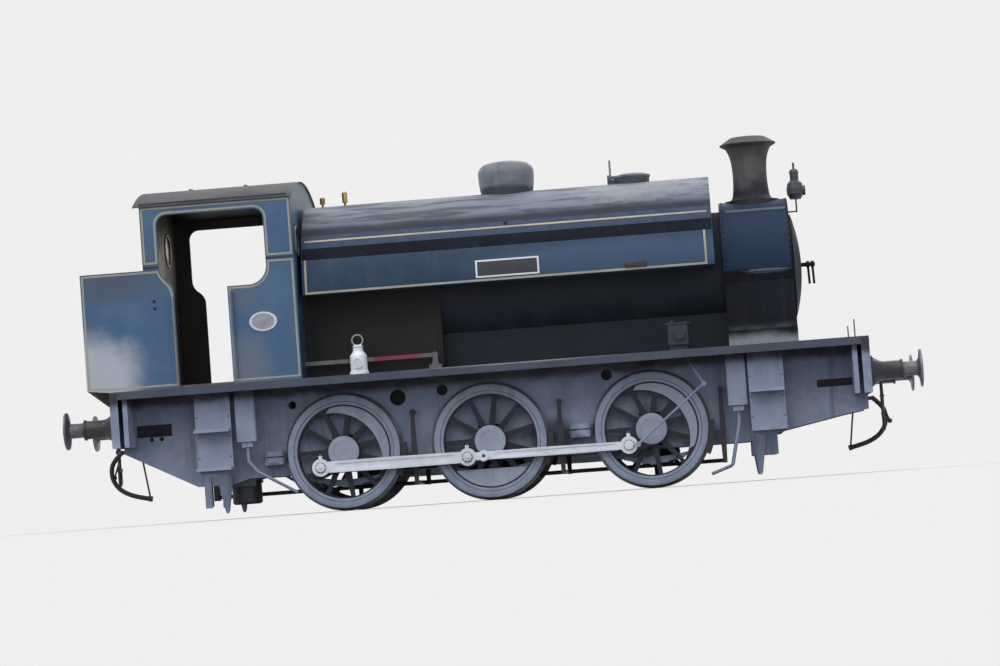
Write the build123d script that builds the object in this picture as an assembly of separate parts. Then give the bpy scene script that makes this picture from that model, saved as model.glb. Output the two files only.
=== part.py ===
from build123d import *
import math
import os

# An industrial steam locomotive with six coupled wheels, inside cylinders and a saddle
# tank. Lengths are millimetres. +X points to the chimney end, +Y to the left-hand side
# and +Z up. The origin lies on the floor under the middle of the length over buffers.
# The flange tips stand on that floor, so the top of a rail would be flange_height above it.

# Wheels and track
flange_height = 28
tread_dia = 1232
back_to_back = 1362
tyre_width = 130
tyre_thickness = 70
rim_thickness = 48
axle_dia = 180
hub_dia = 350
hub_stand_out = 22
spoke_count = 11
spoke_root_width = 66
spoke_tip_width = 44
spoke_depth = 64
wheelbase_rear = 1600
wheelbase_front = 1753

# Cranks and coupling rods
crank_throw = 300
crank_angle_right = 212
quartering = 90
crank_pin_dia = 110
crank_boss_dia = 230
pin_stand_out = 14
rod_boss_dia = 190
rod_thickness = 56
rod_flute = 8
rear_rod_depth = 132
front_rod_depth = 96
knuckle_ahead = 176
knuckle_dia = 120
inside_throw = 330
inside_crank_y = 300
inside_journal_length = 120
inside_web = 55

# Frames, beams and running plate
beam_face_x = 4100
rear_overhang = 2459
frame_thickness = 30
frame_outer_y = 645
frame_depth_below_axle = 214
beam_thickness = 30
beam_return = 88
beam_depth = 596
plate_top_z = 1458
plate_half_width = 1220
plate_thickness = 10
valance_depth = 75
axlebox_width = 262
axlebox_height = 300
spring_half_length = 480
spring_rise = 60
leaf_thickness = 14
leaf_count = 5
spring_width = 84

# Cylinders and stays
cylinder_spacing = 600
cylinder_cover_dia = 520
cylinder_length = 920
cylinder_front_x = 3180
cylinder_z = 900
motion_plate_x = 1010
stay_thickness = 30

# Buffers and drawgear
buffer_length = 571
buffer_spacing = 1727
buffer_height = 1054
buffer_head_dia = 406
buffer_ram_dia = 160
buffer_housing_dia = 200
buffer_housing_length = 355
buffer_base = 330
hook_pin_ahead = 150
hook_pin_dia = 40
link_dia = 32
hose_dia = 52

# Boiler, tank and smokebox
boiler_centre_z = 2338
boiler_dia = 1300
smokebox_dia = 1490
smokebox_rear_x = 2619
smokebox_length = 750
smokebox_wall = 20
saddle_half_width = 722
saddle_foot_width = 800
tank_dia = 2100
tank_rear_x = -1941
tank_front_gap = 90
tank_bottom_z = 2359
firebox_rear_x = -2150
firebox_front_x = -491
firebox_foot_width = 1120
door_dia = 1130
door_dish = 110
hinge_spread = 230
chimney_ahead = 370
chimney_bore = 340
chimney_height = 710
dome_x = 294
dome_dia = 620
dome_height = 355
dome_shoulder_r = 115
dome_side_r = 1150
dome_crown_r = 900
filler_x = 1685
filler_dia = 390
lid_hinge_back = 245

# Cab and bunker
cab_inset = 50
cab_plate = 10
cab_front_x = -1996
cab_length = 1650
bunker_length = 695
bunker_top_z = 2750
eave_z = 3442
roof_rise = 240
roof_sheet = 8
roof_overhang_front = 20
roof_overhang_rear = 70
roof_overhang_side = 20
door_rear_x = -3326
door_front_x = -2741
sill_z = 2515
lookout_rear_x = -3467
lookout_front_x = -2303
lookout_top_z = 3338
floor_thickness = 24
hatch_x0 = -3197
hatch_x1 = -2601
hatch_half_width = 300
hatch_lift = 14
hatch_open_deg = 11.4
reversing_rod_y = 730
reversing_rod_z = 1625
reverser_back = 150
fire_door_dia = 400

# Gaps between pieces
seat_gap = 0.3
running_gap = 0.5
clear_gap = 6

# Places worked out from the sizes above
rail_z = flange_height
axle_z = rail_z + tread_dia / 2
rear_axle_x = -beam_face_x + rear_overhang
middle_axle_x = rear_axle_x + wheelbase_rear
front_axle_x = middle_axle_x + wheelbase_front
wheel_inner_y = back_to_back / 2
wheel_outer_y = wheel_inner_y + tyre_width
frame_inner_y = frame_outer_y - frame_thickness
frame_bottom_z = axle_z - frame_depth_below_axle
plate_under_z = plate_top_z - plate_thickness
beam_bottom_z = plate_under_z - beam_depth
buffer_z = rail_z + buffer_height
crank_angle_left = crank_angle_right + quartering
hub_outer_y = wheel_outer_y + hub_stand_out
rod_inner_y = hub_outer_y + 16
rod_outer_y = rod_inner_y + rod_thickness
pin_outer_y = rod_outer_y + pin_stand_out
cylinder_rear_x = cylinder_front_x - cylinder_length
smokebox_front_x = smokebox_rear_x + smokebox_length
chimney_x = smokebox_rear_x + chimney_ahead
tank_front_x = smokebox_rear_x - tank_front_gap
boiler_r = boiler_dia / 2
smokebox_r = smokebox_dia / 2
tank_r = tank_dia / 2
tank_crown_z = boiler_centre_z + tank_r
cab_half_width = plate_half_width - cab_inset
cab_rear_x = cab_front_x - cab_length
bunker_rear_x = cab_rear_x - bunker_length
cab_inner_y = cab_half_width - cab_plate
roof_half_width = cab_half_width + roof_overhang_side
roof_r = roof_half_width ** 2 / (2 * roof_rise) + roof_rise / 2
roof_crown_z = eave_z + roof_rise
roof_centre_z = roof_crown_z - roof_r
hook_pin_x = beam_face_x + hook_pin_ahead
sides = {"right": -1, "left": 1}
ends = {"front": 1, "rear": -1}


# Helpers

def block(x0, x1, y0, y1, z0, z1):
    """A box between two corners, given in any order."""
    low = (min(x0, x1), min(y0, y1), min(z0, z1))
    size = (abs(x1 - x0), abs(y1 - y0), abs(z1 - z0))
    return Pos(*low) * Box(*size, align=(Align.MIN, Align.MIN, Align.MIN))


def rod_x(x0, x1, y, z, dia):
    """A round bar along X."""
    return Pos((x0 + x1) / 2, y, z) * Rot(0, 90, 0) * Cylinder(dia / 2, abs(x1 - x0))


def rod_y(x, y0, y1, z, dia):
    """A round bar along Y."""
    return Pos(x, (y0 + y1) / 2, z) * Rot(90, 0, 0) * Cylinder(dia / 2, abs(y1 - y0))


def rod_z(x, y, z0, z1, dia):
    """A round bar along Z."""
    return Pos(x, y, (z0 + z1) / 2) * Cylinder(dia / 2, abs(z1 - z0))


def bar(start, end, dia):
    """A round bar from one point to another."""
    run = Vector(*end) - Vector(*start)
    middle = Vector(*start) + run * 0.5
    return Plane(origin=middle, z_dir=run) * Cylinder(dia / 2, run.length)


def side_plate(points, y0, y1):
    """An outline in X and Z, made thick from y0 to y1."""
    low = min(y0, y1)
    outline = Polyline(*[(x, low, z) for x, z in points], close=True)
    return extrude(make_face(outline), amount=abs(y1 - y0), dir=(0, 1, 0))


def curved_side_plate(lines, y0, y1):
    """Lines and arcs drawn in the plane y = 0, made thick from y0 to y1."""
    low = min(y0, y1)
    face = Pos(0, low, 0) * make_face(Curve() + lines)
    return extrude(face, amount=abs(y1 - y0), dir=(0, 1, 0))


def cross_plate(lines, x0, x1):
    """Lines and arcs drawn in the plane x = 0, made thick from x0 to x1."""
    low = min(x0, x1)
    face = Pos(low, 0, 0) * make_face(Curve() + lines)
    return extrude(face, amount=abs(x1 - x0), dir=(1, 0, 0))


def turned_x(profile, y, z):
    """A profile of (x, radius) points turned about a line along X."""
    outline = Polyline(*[(x, r) for x, r in profile], close=True)
    return Pos(0, y, z) * revolve(make_face(outline), Axis.X, 360)


def turned_z(profile, x, y):
    """A profile of (radius, z) points turned about a line along Z."""
    outline = Polyline(*[(r, 0, z) for r, z in profile], close=True)
    return Pos(x, y, 0) * revolve(make_face(outline), Axis.Z, 360)


def turned_lines(lines, x, y):
    """Lines and arcs drawn in the plane y = 0, turned about a line along Z."""
    return Pos(x, y, 0) * revolve(make_face(Curve() + lines), Axis.Z, 360)


def at_angle(x, z, radius, degrees):
    """The point at a radius and an angle from +X towards +Z."""
    turn = math.radians(degrees)
    return x + radius * math.cos(turn), z + radius * math.sin(turn)


def in_side_view(point):
    """A point of a side view, given as (x, z), in the plane y = 0."""
    return (point[0], 0, point[1])


def arc_about(x, z, radius, from_degrees, to_degrees):
    """An arc about a centre in the plane y = 0."""
    turns = (from_degrees, (from_degrees + to_degrees) / 2, to_degrees)
    return ThreePointArc(*[in_side_view(at_angle(x, z, radius, turn)) for turn in turns])


def bent_pipe(points, radius, dia):
    """A round pipe of straight runs with an arc at each corner."""
    path = FilletPolyline(*points, radius=radius)
    start = Plane(origin=path @ 0, z_dir=path % 0)
    return sweep(start * Circle(dia / 2), path=path)


# Wheels

def tyre(side):
    """One flanged tyre, turned about the axle."""
    inner = wheel_inner_y
    tread_r = tread_dia / 2
    flange_r = tread_r + flange_height
    seat_r = tread_r - tyre_thickness
    profile = [(inner, seat_r), (inner, flange_r - 14), (inner + 8, flange_r),
               (inner + 18, flange_r), (inner + 36, tread_r), (wheel_outer_y, tread_r - 3),
               (wheel_outer_y, seat_r)]
    outline = Polyline(*[(r, side * y, 0) for y, r in profile], close=True)
    return revolve(make_face(outline), Axis.Y, 360)


def ring_y(outer_r, inner_r, y0, y1):
    middle = (y0 + y1) / 2
    ring = Cylinder(outer_r, abs(y1 - y0)) - Cylinder(inner_r, abs(y1 - y0) + 2)
    return Pos(0, middle, 0) * Rot(90, 0, 0) * ring


def balance_weight(side, kind, degrees, rim_inner_r):
    """A crescent inside the rim, or the flat-topped segment of the middle wheels."""
    y0 = side * (wheel_inner_y + 30)
    y1 = side * (wheel_outer_y - 24)
    disc = rod_y(0, y0, y1, 0, 2 * rim_inner_r + 4)
    if kind == "crescent":
        cutter = rod_y(-150, y0 * 0.9, y1 * 1.1, 0, 2 * (rim_inner_r + 22))
    else:
        depth = 200
        cutter = block(-rim_inner_r - 50, rim_inner_r - depth, y0 * 0.9, y1 * 1.1,
                       -rim_inner_r - 50, rim_inner_r + 50)
    return Rot(0, -degrees, 0) * (disc - cutter)


def spoke(side, rim_inner_r):
    """One spoke along +X, wider at the hub than at the rim."""
    y0 = side * (wheel_inner_y + 36)
    root = hub_dia / 2 - 20
    tip = rim_inner_r + 4
    return side_plate([(root, -spoke_root_width / 2), (tip, -spoke_tip_width / 2),
                       (tip, spoke_tip_width / 2), (root, spoke_root_width / 2)],
                      y0, y0 + side * spoke_depth)


def crank_boss(side):
    """The pear-shaped boss round the crank pin, along +X."""
    y0 = side * (wheel_inner_y + 36)
    y1 = side * hub_outer_y
    pear = side_plate([(0, -hub_dia / 2 + 10), (crank_throw, -crank_boss_dia / 2),
                       (crank_throw, crank_boss_dia / 2), (0, hub_dia / 2 - 10)], y0, y1)
    return pear + rod_y(crank_throw, y0, y1, 0, crank_boss_dia)


def wheel_centre(side, pin_degrees, weight_kind, weight_degrees):
    """A cast wheel centre: hub, spokes, rim, crank boss and balance weight."""
    seat_r = tread_dia / 2 - tyre_thickness
    rim_inner_r = seat_r - rim_thickness
    wheel = ring_y(seat_r, rim_inner_r, side * (wheel_inner_y + 8), side * (wheel_outer_y - 8))
    wheel += rod_y(0, side * (wheel_inner_y + 4), side * hub_outer_y, 0, hub_dia)
    for count in range(spoke_count):
        turn = pin_degrees + 360 * count / spoke_count
        wheel += Rot(0, -turn, 0) * spoke(side, rim_inner_r)
    wheel += balance_weight(side, weight_kind, weight_degrees, rim_inner_r)
    pin = rod_y(crank_throw, side * (wheel_inner_y + 40), side * pin_outer_y, 0, crank_pin_dia)
    wheel += Rot(0, -pin_degrees, 0) * (crank_boss(side) + pin)
    return wheel


wheelset_table = [
    # name, axle x, weight kind, weight angle right, weight angle left
    ("rear", rear_axle_x, "crescent", 40, 106),
    ("middle", middle_axle_x, "segment", 270, 240),
    ("front", front_axle_x, "crescent", 40, 106),
]


def inside_crank(side):
    """One inside crank of the driving axle: two webs and the pin between them."""
    degrees = crank_angle_right + 180 if side < 0 else crank_angle_left + 180
    half = inside_journal_length / 2
    crank = rod_y(inside_throw, side * (inside_crank_y - half), side * (inside_crank_y + half), 0, axle_dia)
    for web_y in (inside_crank_y - half - inside_web, inside_crank_y + half):
        y0 = side * web_y
        y1 = side * (web_y + inside_web)
        web = block(0, inside_throw, y0, y1, -110, 110)
        web += rod_y(0, y0, y1, 0, 220) + rod_y(inside_throw, y0, y1, 0, 220)
        crank += web
    return Rot(0, -degrees, 0) * crank


def wheelset(name, axle_x, kind, weight_right, weight_left):
    """An axle with its two wheel centres, pins and, on the driving axle, its cranks."""
    axle = rod_y(0, -hub_outer_y, hub_outer_y, 0, axle_dia)
    if name == "middle":
        half = inside_journal_length / 2
        for side in sides.values():
            axle -= rod_y(0, side * (inside_crank_y - half), side * (inside_crank_y + half), 0, axle_dia + 4)
        for side in sides.values():
            axle += inside_crank(side)
    axle += wheel_centre(-1, crank_angle_right, kind, weight_right)
    axle += wheel_centre(1, crank_angle_left, kind, weight_left)
    return Pos(axle_x, 0, axle_z) * axle


def tyre_pair(axle_x):
    return Pos(axle_x, 0, axle_z) * (tyre(-1) + tyre(1))


def rod_body(x0, x1, z, y0, y1, root_depth, tip_depth):
    """The bar of a coupling rod, deeper at its middle than at its ends."""
    middle = (x0 + x1) / 2
    return side_plate([(x0, z - tip_depth / 2), (middle, z - root_depth / 2), (x1, z - tip_depth / 2),
                       (x1, z + tip_depth / 2), (middle, z + root_depth / 2), (x0, z + tip_depth / 2)],
                      y0, y1)


def coupling_rods(side):
    """Rear and front coupling rods of one side, joined at the knuckle."""
    degrees = crank_angle_right if side < 0 else crank_angle_left
    pins_x = [at_angle(axle_x, axle_z, crank_throw, degrees)[0]
              for axle_x in (rear_axle_x, middle_axle_x, front_axle_x)]
    z = at_angle(0, axle_z, crank_throw, degrees)[1]
    y0 = side * rod_inner_y
    y1 = side * rod_outer_y
    bar_y0 = y0 + side * rod_flute
    bar_y1 = y1 - side * rod_flute
    flute_y = bar_y1 - side * rod_flute
    knuckle_x = pins_x[1] + knuckle_ahead
    rods = rod_y(knuckle_x, y0, y1, z, knuckle_dia)
    for x0, x1, depth in ((pins_x[0], pins_x[1], rear_rod_depth), (pins_x[1], pins_x[2], front_rod_depth)):
        rods += rod_body(x0, x1, z, bar_y0, bar_y1, depth, depth - 12)
        reach = rod_boss_dia / 2 + 60
        start = x0 + reach if x0 == pins_x[0] else knuckle_x + knuckle_dia / 2 + 60
        rods -= block(start, x1 - reach, flute_y, bar_y1 + side * 5, z - depth / 4, z + depth / 4)
    for x in pins_x:
        rods += rod_y(x, y0, y1, z, rod_boss_dia)
        top = z + rod_boss_dia / 2
        rods += rod_z(x, (y0 + y1) / 2, top - 12, top + 34, 44)
    for x in pins_x:
        rods -= rod_y(x, y0 - side * 5, y1 + side * 5, z, crank_pin_dia + 2 * running_gap)
    return rods


# Frames and running gear

horn_cheek_width = 36
frame_slot_z0 = beam_bottom_z + 106
pocket_floor = 8
through = -5
frame_hole_table = [
    # x, z, diameter, plate left behind it
    (middle_axle_x - 988, 1190, 175, through),
    (middle_axle_x - 497, 1237, 120, pocket_floor),
    (rear_axle_x - 549, 1193, 88, through),
    (front_axle_x - 450, 1266, 120, pocket_floor),
    (rear_axle_x - 2010, 930, 50, pocket_floor),
    (rear_axle_x - 2120, 930, 50, pocket_floor),
]
frame_slot_table = [
    # name, from the plate's end to the slot, to its far edge, height
    ("front", 110, 541, 82),
    ("rear", 70, 538, 132),
]


def frame_plate(side):
    """One main frame plate with its horn gaps, slots, holes, front lobe and rear hanger."""
    end_x = beam_face_x - beam_thickness
    outline = [(-end_x, beam_bottom_z - 62), (-end_x, plate_under_z), (end_x, plate_under_z),
               (end_x, beam_bottom_z - 162), (end_x - 210, beam_bottom_z - 194), (end_x - 964, 517),
               (end_x - 1310, frame_bottom_z), (-end_x + 1370, frame_bottom_z), (-end_x + 1170, 375),
               (-end_x + 790, 375)]
    plate = side_plate(outline, side * frame_inner_y, side * frame_outer_y)
    y0 = side * (frame_inner_y - 5)
    y1 = side * (frame_outer_y + 5)
    half_gap = axlebox_width / 2
    low = axle_z - axlebox_height / 2 - 30
    high = axle_z + axlebox_height / 2 + 30
    cheek_y = side * (frame_outer_y + 16)
    for name, axle_x, *_ in wheelset_table:
        for cheek_x in (axle_x - half_gap - horn_cheek_width, axle_x + half_gap):
            plate += block(cheek_x, cheek_x + horn_cheek_width, side * frame_outer_y, cheek_y, low, high)
        plate -= block(axle_x - half_gap, axle_x + half_gap, y0, y1 + side * 20, low, high)
    for x, z, dia, floor in frame_hole_table:
        plate -= rod_y(x, side * (frame_inner_y + floor), y1, z, dia)
    for name, near, far, height in frame_slot_table:
        end = ends[name]
        plate -= block(end * (end_x - near), end * (end_x - far), side * (frame_inner_y + pocket_floor), y1,
                       frame_slot_z0, frame_slot_z0 + height)
    lobe_x = end_x - 1007
    plate += block(lobe_x - 283, lobe_x, side * frame_inner_y, side * frame_outer_y, 275, 561)
    hanger_x = -end_x + 935
    plate += block(hanger_x - 77, hanger_x, side * frame_outer_y, cheek_y + side * 8, 134, 482)
    return plate


def slide_bar_pairs():
    """The four pairs of slide bars behind the cylinders, as (y, z) places of their lower faces."""
    return [(side * cylinder_spacing / 2, cylinder_z + offset)
            for side in sides.values() for offset in (-150, 150)]


def frame_stays():
    """The cross stays: drag box, firebox stay, motion plate with slide bars."""
    half = frame_inner_y
    drag_x = -beam_face_x + 200
    stays = block(drag_x, drag_x + 40, -half, half, beam_bottom_z - 52, plate_under_z)
    stay_x = firebox_rear_x - 200
    stays += block(stay_x, stay_x + 20, -half, half, frame_bottom_z + 190, plate_under_z - 68)
    motion = block(motion_plate_x, motion_plate_x + stay_thickness, -half, half,
                   frame_bottom_z + 130, plate_under_z - 148)
    for side in sides.values():
        centre = side * cylinder_spacing / 2
        motion -= block(motion_plate_x - 5, motion_plate_x + stay_thickness + 5, centre - 150, centre + 150,
                        cylinder_z - 120, cylinder_z + 150)
    stays += motion
    for y, z in slide_bar_pairs():
        stays += block(motion_plate_x + stay_thickness, cylinder_rear_x, y - 50, y + 50, z, z + 30)
    return stays


def cylinder_block():
    """The two inside cylinders and their steam chest, as one casting with its covers."""
    cylinders = block(cylinder_rear_x, cylinder_front_x, -frame_inner_y, frame_inner_y,
                      cylinder_z - cylinder_cover_dia / 2 - 20, plate_under_z)
    for side in sides.values():
        y = side * cylinder_spacing / 2
        cylinders += rod_x(cylinder_front_x, cylinder_front_x + 50, y, cylinder_z, cylinder_cover_dia)
        cylinders += rod_x(cylinder_front_x + 50, cylinder_front_x + 90, y, cylinder_z, 150)
        cylinders += rod_x(cylinder_rear_x - 140, cylinder_rear_x, y, cylinder_z, 130)
    return cylinders


def axlebox(side, axle_x):
    """An axlebox with the groove in each side that its horn cheeks fit."""
    half = axlebox_width / 2 - seat_gap
    low = axle_z - axlebox_height / 2
    high = axle_z + axlebox_height / 2
    box = block(axle_x - half, axle_x + half, side * (frame_inner_y - 30), side * (frame_outer_y + 22),
                low, high)
    bore_y0 = side * (frame_inner_y - 40)
    bore_y1 = side * (frame_outer_y + 40)
    return box - rod_y(axle_x, bore_y0, bore_y1, axle_z, axle_dia + 2 * running_gap)


def axleboxes():
    boxes = [axlebox(side, row[1]) for side in sides.values() for row in wheelset_table]
    return Compound(children=boxes)


def leaf_pack_lines(x, low_z):
    """The outline of a bowed pack of leaves, longest on top, with its centre at x."""
    inner_r = (spring_half_length ** 2 + spring_rise ** 2) / (2 * spring_rise)
    pack = leaf_count * leaf_thickness
    centre_z = low_z + pack + inner_r
    full = math.degrees(math.asin(spring_half_length / inner_r))
    half_turns = [full * (1 - 0.17 * count) for count in range(leaf_count)]
    lines = [arc_about(x, centre_z, inner_r, 270 - full, 270 + full)]
    for count, half_turn in enumerate(half_turns):
        r = inner_r + count * leaf_thickness
        next_r = r + leaf_thickness
        for sign in (-1, 1):
            turn = 270 + sign * half_turn
            lines.append(Line(in_side_view(at_angle(x, centre_z, r, turn)),
                              in_side_view(at_angle(x, centre_z, next_r, turn))))
            if count + 1 < leaf_count:
                next_turn = 270 + sign * half_turns[count + 1]
                lines.append(arc_about(x, centre_z, next_r, turn, next_turn))
    last = half_turns[-1]
    lines.append(arc_about(x, centre_z, inner_r + pack, 270 - last, 270 + last))
    return lines


def spring(side, axle_x):
    """A leaf spring under its axlebox, with buckle and hangers up to the frame."""
    y0 = side * (frame_outer_y - spring_width + 20)
    y1 = y0 + side * spring_width
    pack = leaf_count * leaf_thickness
    seat = frame_bottom_z - seat_gap
    low_z = seat - pack - spring_rise - 30
    piece = curved_side_plate(leaf_pack_lines(axle_x, low_z), y0, y1)
    middle_y = (y0 + y1) / 2
    piece += block(axle_x - 45, axle_x + 45, y0 - side * 6, y1 + side * 6, low_z - 12, low_z + pack + 14)
    piece += rod_z(axle_x, middle_y, low_z + pack, seat, 50)
    eye_z = low_z + pack + spring_rise
    for sign in (-1, 1):
        eye_x = axle_x + sign * (spring_half_length - 10)
        piece += rod_y(eye_x, y0, y1, eye_z - 10, 44)
        piece += block(eye_x - 16, eye_x + 16, y0, y1, eye_z - 10, seat)
    return piece


pad_height = 58
pad_pitch = 72
pad_neck_dia = 120
pad_table = [
    # name, x of the rear edge, x of the front edge, z of the shelf's top
    ("front", 822, 1055, 628),
    ("rear", -2517, -2298, 573),
]


def pad_stack(side, x0, x1, shelf_z):
    """Two round-cornered pads one over the other, on a shelf outside the frame."""
    y0 = side * frame_outer_y
    y1 = side * (rod_inner_y - clear_gap)
    stack = rod_z((x0 + x1) / 2, (y0 + y1) / 2, shelf_z - 5, shelf_z + pad_pitch + pad_height, pad_neck_dia)
    stack += block(x0 + 12, x1 - 12, y0, y1 - side * 12, shelf_z - 18, shelf_z)
    for lift in (0, pad_pitch):
        pad = block(x0, x1, y0 + side * 4, y1, shelf_z + lift, shelf_z + lift + pad_height)
        stack += fillet(pad.edges().filter_by(Axis.Z), 85)
    return stack


def springs():
    """The six leaf springs, and the four stacks of pads."""
    pieces = [spring(side, row[1]) for side in sides.values() for row in wheelset_table]
    pieces += [pad_stack(side, *places) for name, *places in pad_table for side in sides.values()]
    return Compound(children=pieces)


def gusset(end, side):
    """The knee that stiffens the beam: a web out from the frame with a flange on its edge."""
    inner = end * (beam_face_x - beam_thickness)
    web_x = end * (beam_face_x - 186)
    edge = side * (plate_half_width - 12)
    web = block(web_x, web_x + end * 12, side * frame_outer_y, edge, beam_bottom_z, plate_under_z)
    flange = block(web_x, web_x + end * 51, edge - side * 12, edge, beam_bottom_z, plate_under_z)
    tie = block(web_x, inner, side * frame_outer_y, side * (frame_outer_y + 12), beam_bottom_z, plate_under_z)
    return web + flange + tie


def buffer_beam(end):
    """A flanged buffer beam with the angle strips that tie it to the running plate."""
    face = end * beam_face_x
    inner = end * (beam_face_x - beam_thickness)
    back = end * (beam_face_x - beam_return)
    beam = block(inner, face, -plate_half_width, plate_half_width, beam_bottom_z, plate_under_z)
    for side in sides.values():
        edge = side * plate_half_width
        beam += block(back, inner, edge, edge - side * 12, beam_bottom_z, plate_under_z)
        beam += gusset(end, side)
    return beam


lamp_iron_y = 860
lamp_iron_height = 200


def running_plate(side):
    """One side of the running plate with its edge angle and front lamp iron."""
    y_in = side * (frame_inner_y - 15)
    y_out = side * plate_half_width
    plate = block(-beam_face_x, beam_face_x, y_in, y_out, plate_under_z, plate_top_z)
    valance_x = beam_face_x - beam_return
    valance_z = plate_under_z - valance_depth
    plate += block(-valance_x, valance_x, y_out, y_out - side * 10, valance_z, plate_under_z)
    iron_x = beam_face_x - 135
    iron_y = side * lamp_iron_y
    plate += block(iron_x, iron_x + 60, iron_y - 26, iron_y + 26, plate_top_z, plate_top_z + 12)
    plate += block(iron_x, iron_x + 12, iron_y - 26, iron_y + 26, plate_top_z, plate_top_z + lamp_iron_height)
    return plate


def buffer_housing(end, side):
    """A housing turned with a bell foot and an end ring, on its square base plate."""
    y = side * buffer_spacing / 2
    face = end * beam_face_x
    half = buffer_base / 2
    foot_r = half - 8
    shank_r = buffer_housing_dia / 2
    tip = buffer_housing_length
    bore_r = buffer_ram_dia / 2
    housing = block(face, face + end * 25, y - half, y + half, buffer_z - half, buffer_z + half)
    profile = [(25, bore_r), (25, foot_r), (45, foot_r - 10), (110, shank_r + 8), (150, shank_r),
               (tip - 26, shank_r), (tip - 22, shank_r + 12), (tip, shank_r + 12), (tip, bore_r)]
    housing += turned_x([(face + end * along, r) for along, r in profile], y, buffer_z)
    return housing


def buffer_ram(end, side):
    """A ram with its slightly domed head."""
    y = side * buffer_spacing / 2
    face = end * beam_face_x
    tip = buffer_length
    ram_r = buffer_ram_dia / 2 - seat_gap
    head_r = buffer_head_dia / 2
    profile = [(30, 0), (30, ram_r), (tip - 66, ram_r), (tip - 46, ram_r + 34), (tip - 34, head_r),
               (tip - 14, head_r), (tip - 4, head_r * 0.7), (tip, head_r * 0.35), (tip, 0)]
    return turned_x([(face + end * along, r) for along, r in profile], y, buffer_z)


def each_corner(make):
    return Compound(children=[make(end, side) for end in ends.values() for side in sides.values()])


def drawhook(end):
    """A drawhook on its plate in the middle of the beam."""
    face = end * beam_face_x
    plate = block(face, face + end * 20, -150, 150, buffer_z - 150, buffer_z + 150)
    pin_x = end * hook_pin_x
    shank = block(face, pin_x + end * 40, -25, 25, buffer_z - 45, buffer_z + 35)
    hook = rod_y(pin_x + end * 90, -25, 25, buffer_z - 5, 150)
    mouth = rod_y(pin_x + end * 90, -30, 30, buffer_z + 12, 70)
    mouth += block(pin_x + end * 65, pin_x + end * 110, -30, 30, buffer_z + 10, buffer_z + 90)
    hole = rod_y(pin_x, -30, 30, buffer_z, hook_pin_dia)
    return plate + shank + hook - mouth - hole


shackle_leg_y = 52
shackle_drop = 250
screw_drop = 200
lower_link_drop = 170


def screw_coupling(end):
    """Shackle, screw and lower link, hanging from the drawhook's hole."""
    x = end * hook_pin_x
    nut_z = buffer_z - shackle_drop
    trunnion_z = nut_z - screw_drop
    low_z = trunnion_z - lower_link_drop
    reach = shackle_leg_y + 22
    coupling = rod_y(x, -reach, reach, buffer_z, hook_pin_dia - 2 * running_gap)
    for side in sides.values():
        leg_y = side * shackle_leg_y
        coupling += rod_z(x, leg_y, nut_z, buffer_z, link_dia)
        coupling += rod_y(x, leg_y - 20, leg_y + 20, buffer_z, 62)
        coupling += rod_z(x, leg_y, low_z + shackle_leg_y, trunnion_z, link_dia)
    bend = ThreePointArc((x, -shackle_leg_y, low_z + shackle_leg_y), (x, 0, low_z),
                         (x, shackle_leg_y, low_z + shackle_leg_y))
    start = Plane(origin=bend @ 0, z_dir=bend % 0)
    coupling += sweep(start * Circle(link_dia / 2), path=bend)
    coupling += rod_y(x, -reach, reach, nut_z, 46)
    coupling += rod_y(x, -reach, reach, trunnion_z, 46)
    coupling += rod_z(x, 0, trunnion_z - 40, nut_z + 40, 38)
    lever_z = (nut_z + trunnion_z) / 2
    coupling += bar((x, 0, lever_z), (x + end * 62, 0, lever_z - 170), 20)
    coupling += Pos(x + end * 66, 0, lever_z - 180) * Sphere(28)
    return coupling


step_table = [
    # name, x of the rear edge, x of the front edge
    ("front", 2790, 3171),
    ("rear", -3214, -2825),
]
step_back_y = 1010
step_tread_out_y = 1200
step_bottom_z = 500
step_middle_z = 975


def step(side, x0, x1):
    """A step hanger: a back plate with rounded lower corners and two treads with lips."""
    back = side * step_back_y
    corner = 60
    lines = [Line((x0, 0, step_bottom_z + corner), (x0, 0, plate_under_z)),
             Line((x0, 0, plate_under_z), (x1, 0, plate_under_z)),
             Line((x1, 0, plate_under_z), (x1, 0, step_bottom_z + corner)),
             arc_about(x1 - corner, step_bottom_z + corner, corner, 0, -90),
             Line((x1 - corner, 0, step_bottom_z), (x0 + corner, 0, step_bottom_z)),
             arc_about(x0 + corner, step_bottom_z + corner, corner, 270, 180)]
    piece = curved_side_plate(lines, back, back + side * 12)
    for tread_z in (step_middle_z, step_bottom_z + corner):
        edge = side * step_tread_out_y
        piece += block(x0 + 4, x1 - 4, back, edge, tread_z, tread_z + 10)
        piece += block(x0 + 4, x1 - 4, edge - side * 10, edge, tread_z - 26, tread_z)
        for end_x in (x0 + 4, x1 - 12):
            piece += block(end_x, end_x + 8, back, edge - side * 10, tread_z - 26, tread_z)
    return piece


def steps():
    return Compound(children=[step(side, x0, x1) for name, x0, x1 in step_table for side in sides.values()])


sandbox_table = [
    # name, x of the rear face, x of the front face, corners of the pipe as (x, y on the left, z)
    ("front", 2556, 2769, [(2662, 930, 776), (2662, 930, 640), (2560, 905, 190), (2330, 764, 112)]),
    ("rear", -2780, -2560, [(-2670, 930, 776), (-2670, 930, 610), (-2580, 905, 492), (-2180, 764, 240)]),
]
sandbox_inner_y = 860
sandbox_outer_y = 1000
sandbox_bottom_z = 826
sand_pipe_dia = 34


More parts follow.
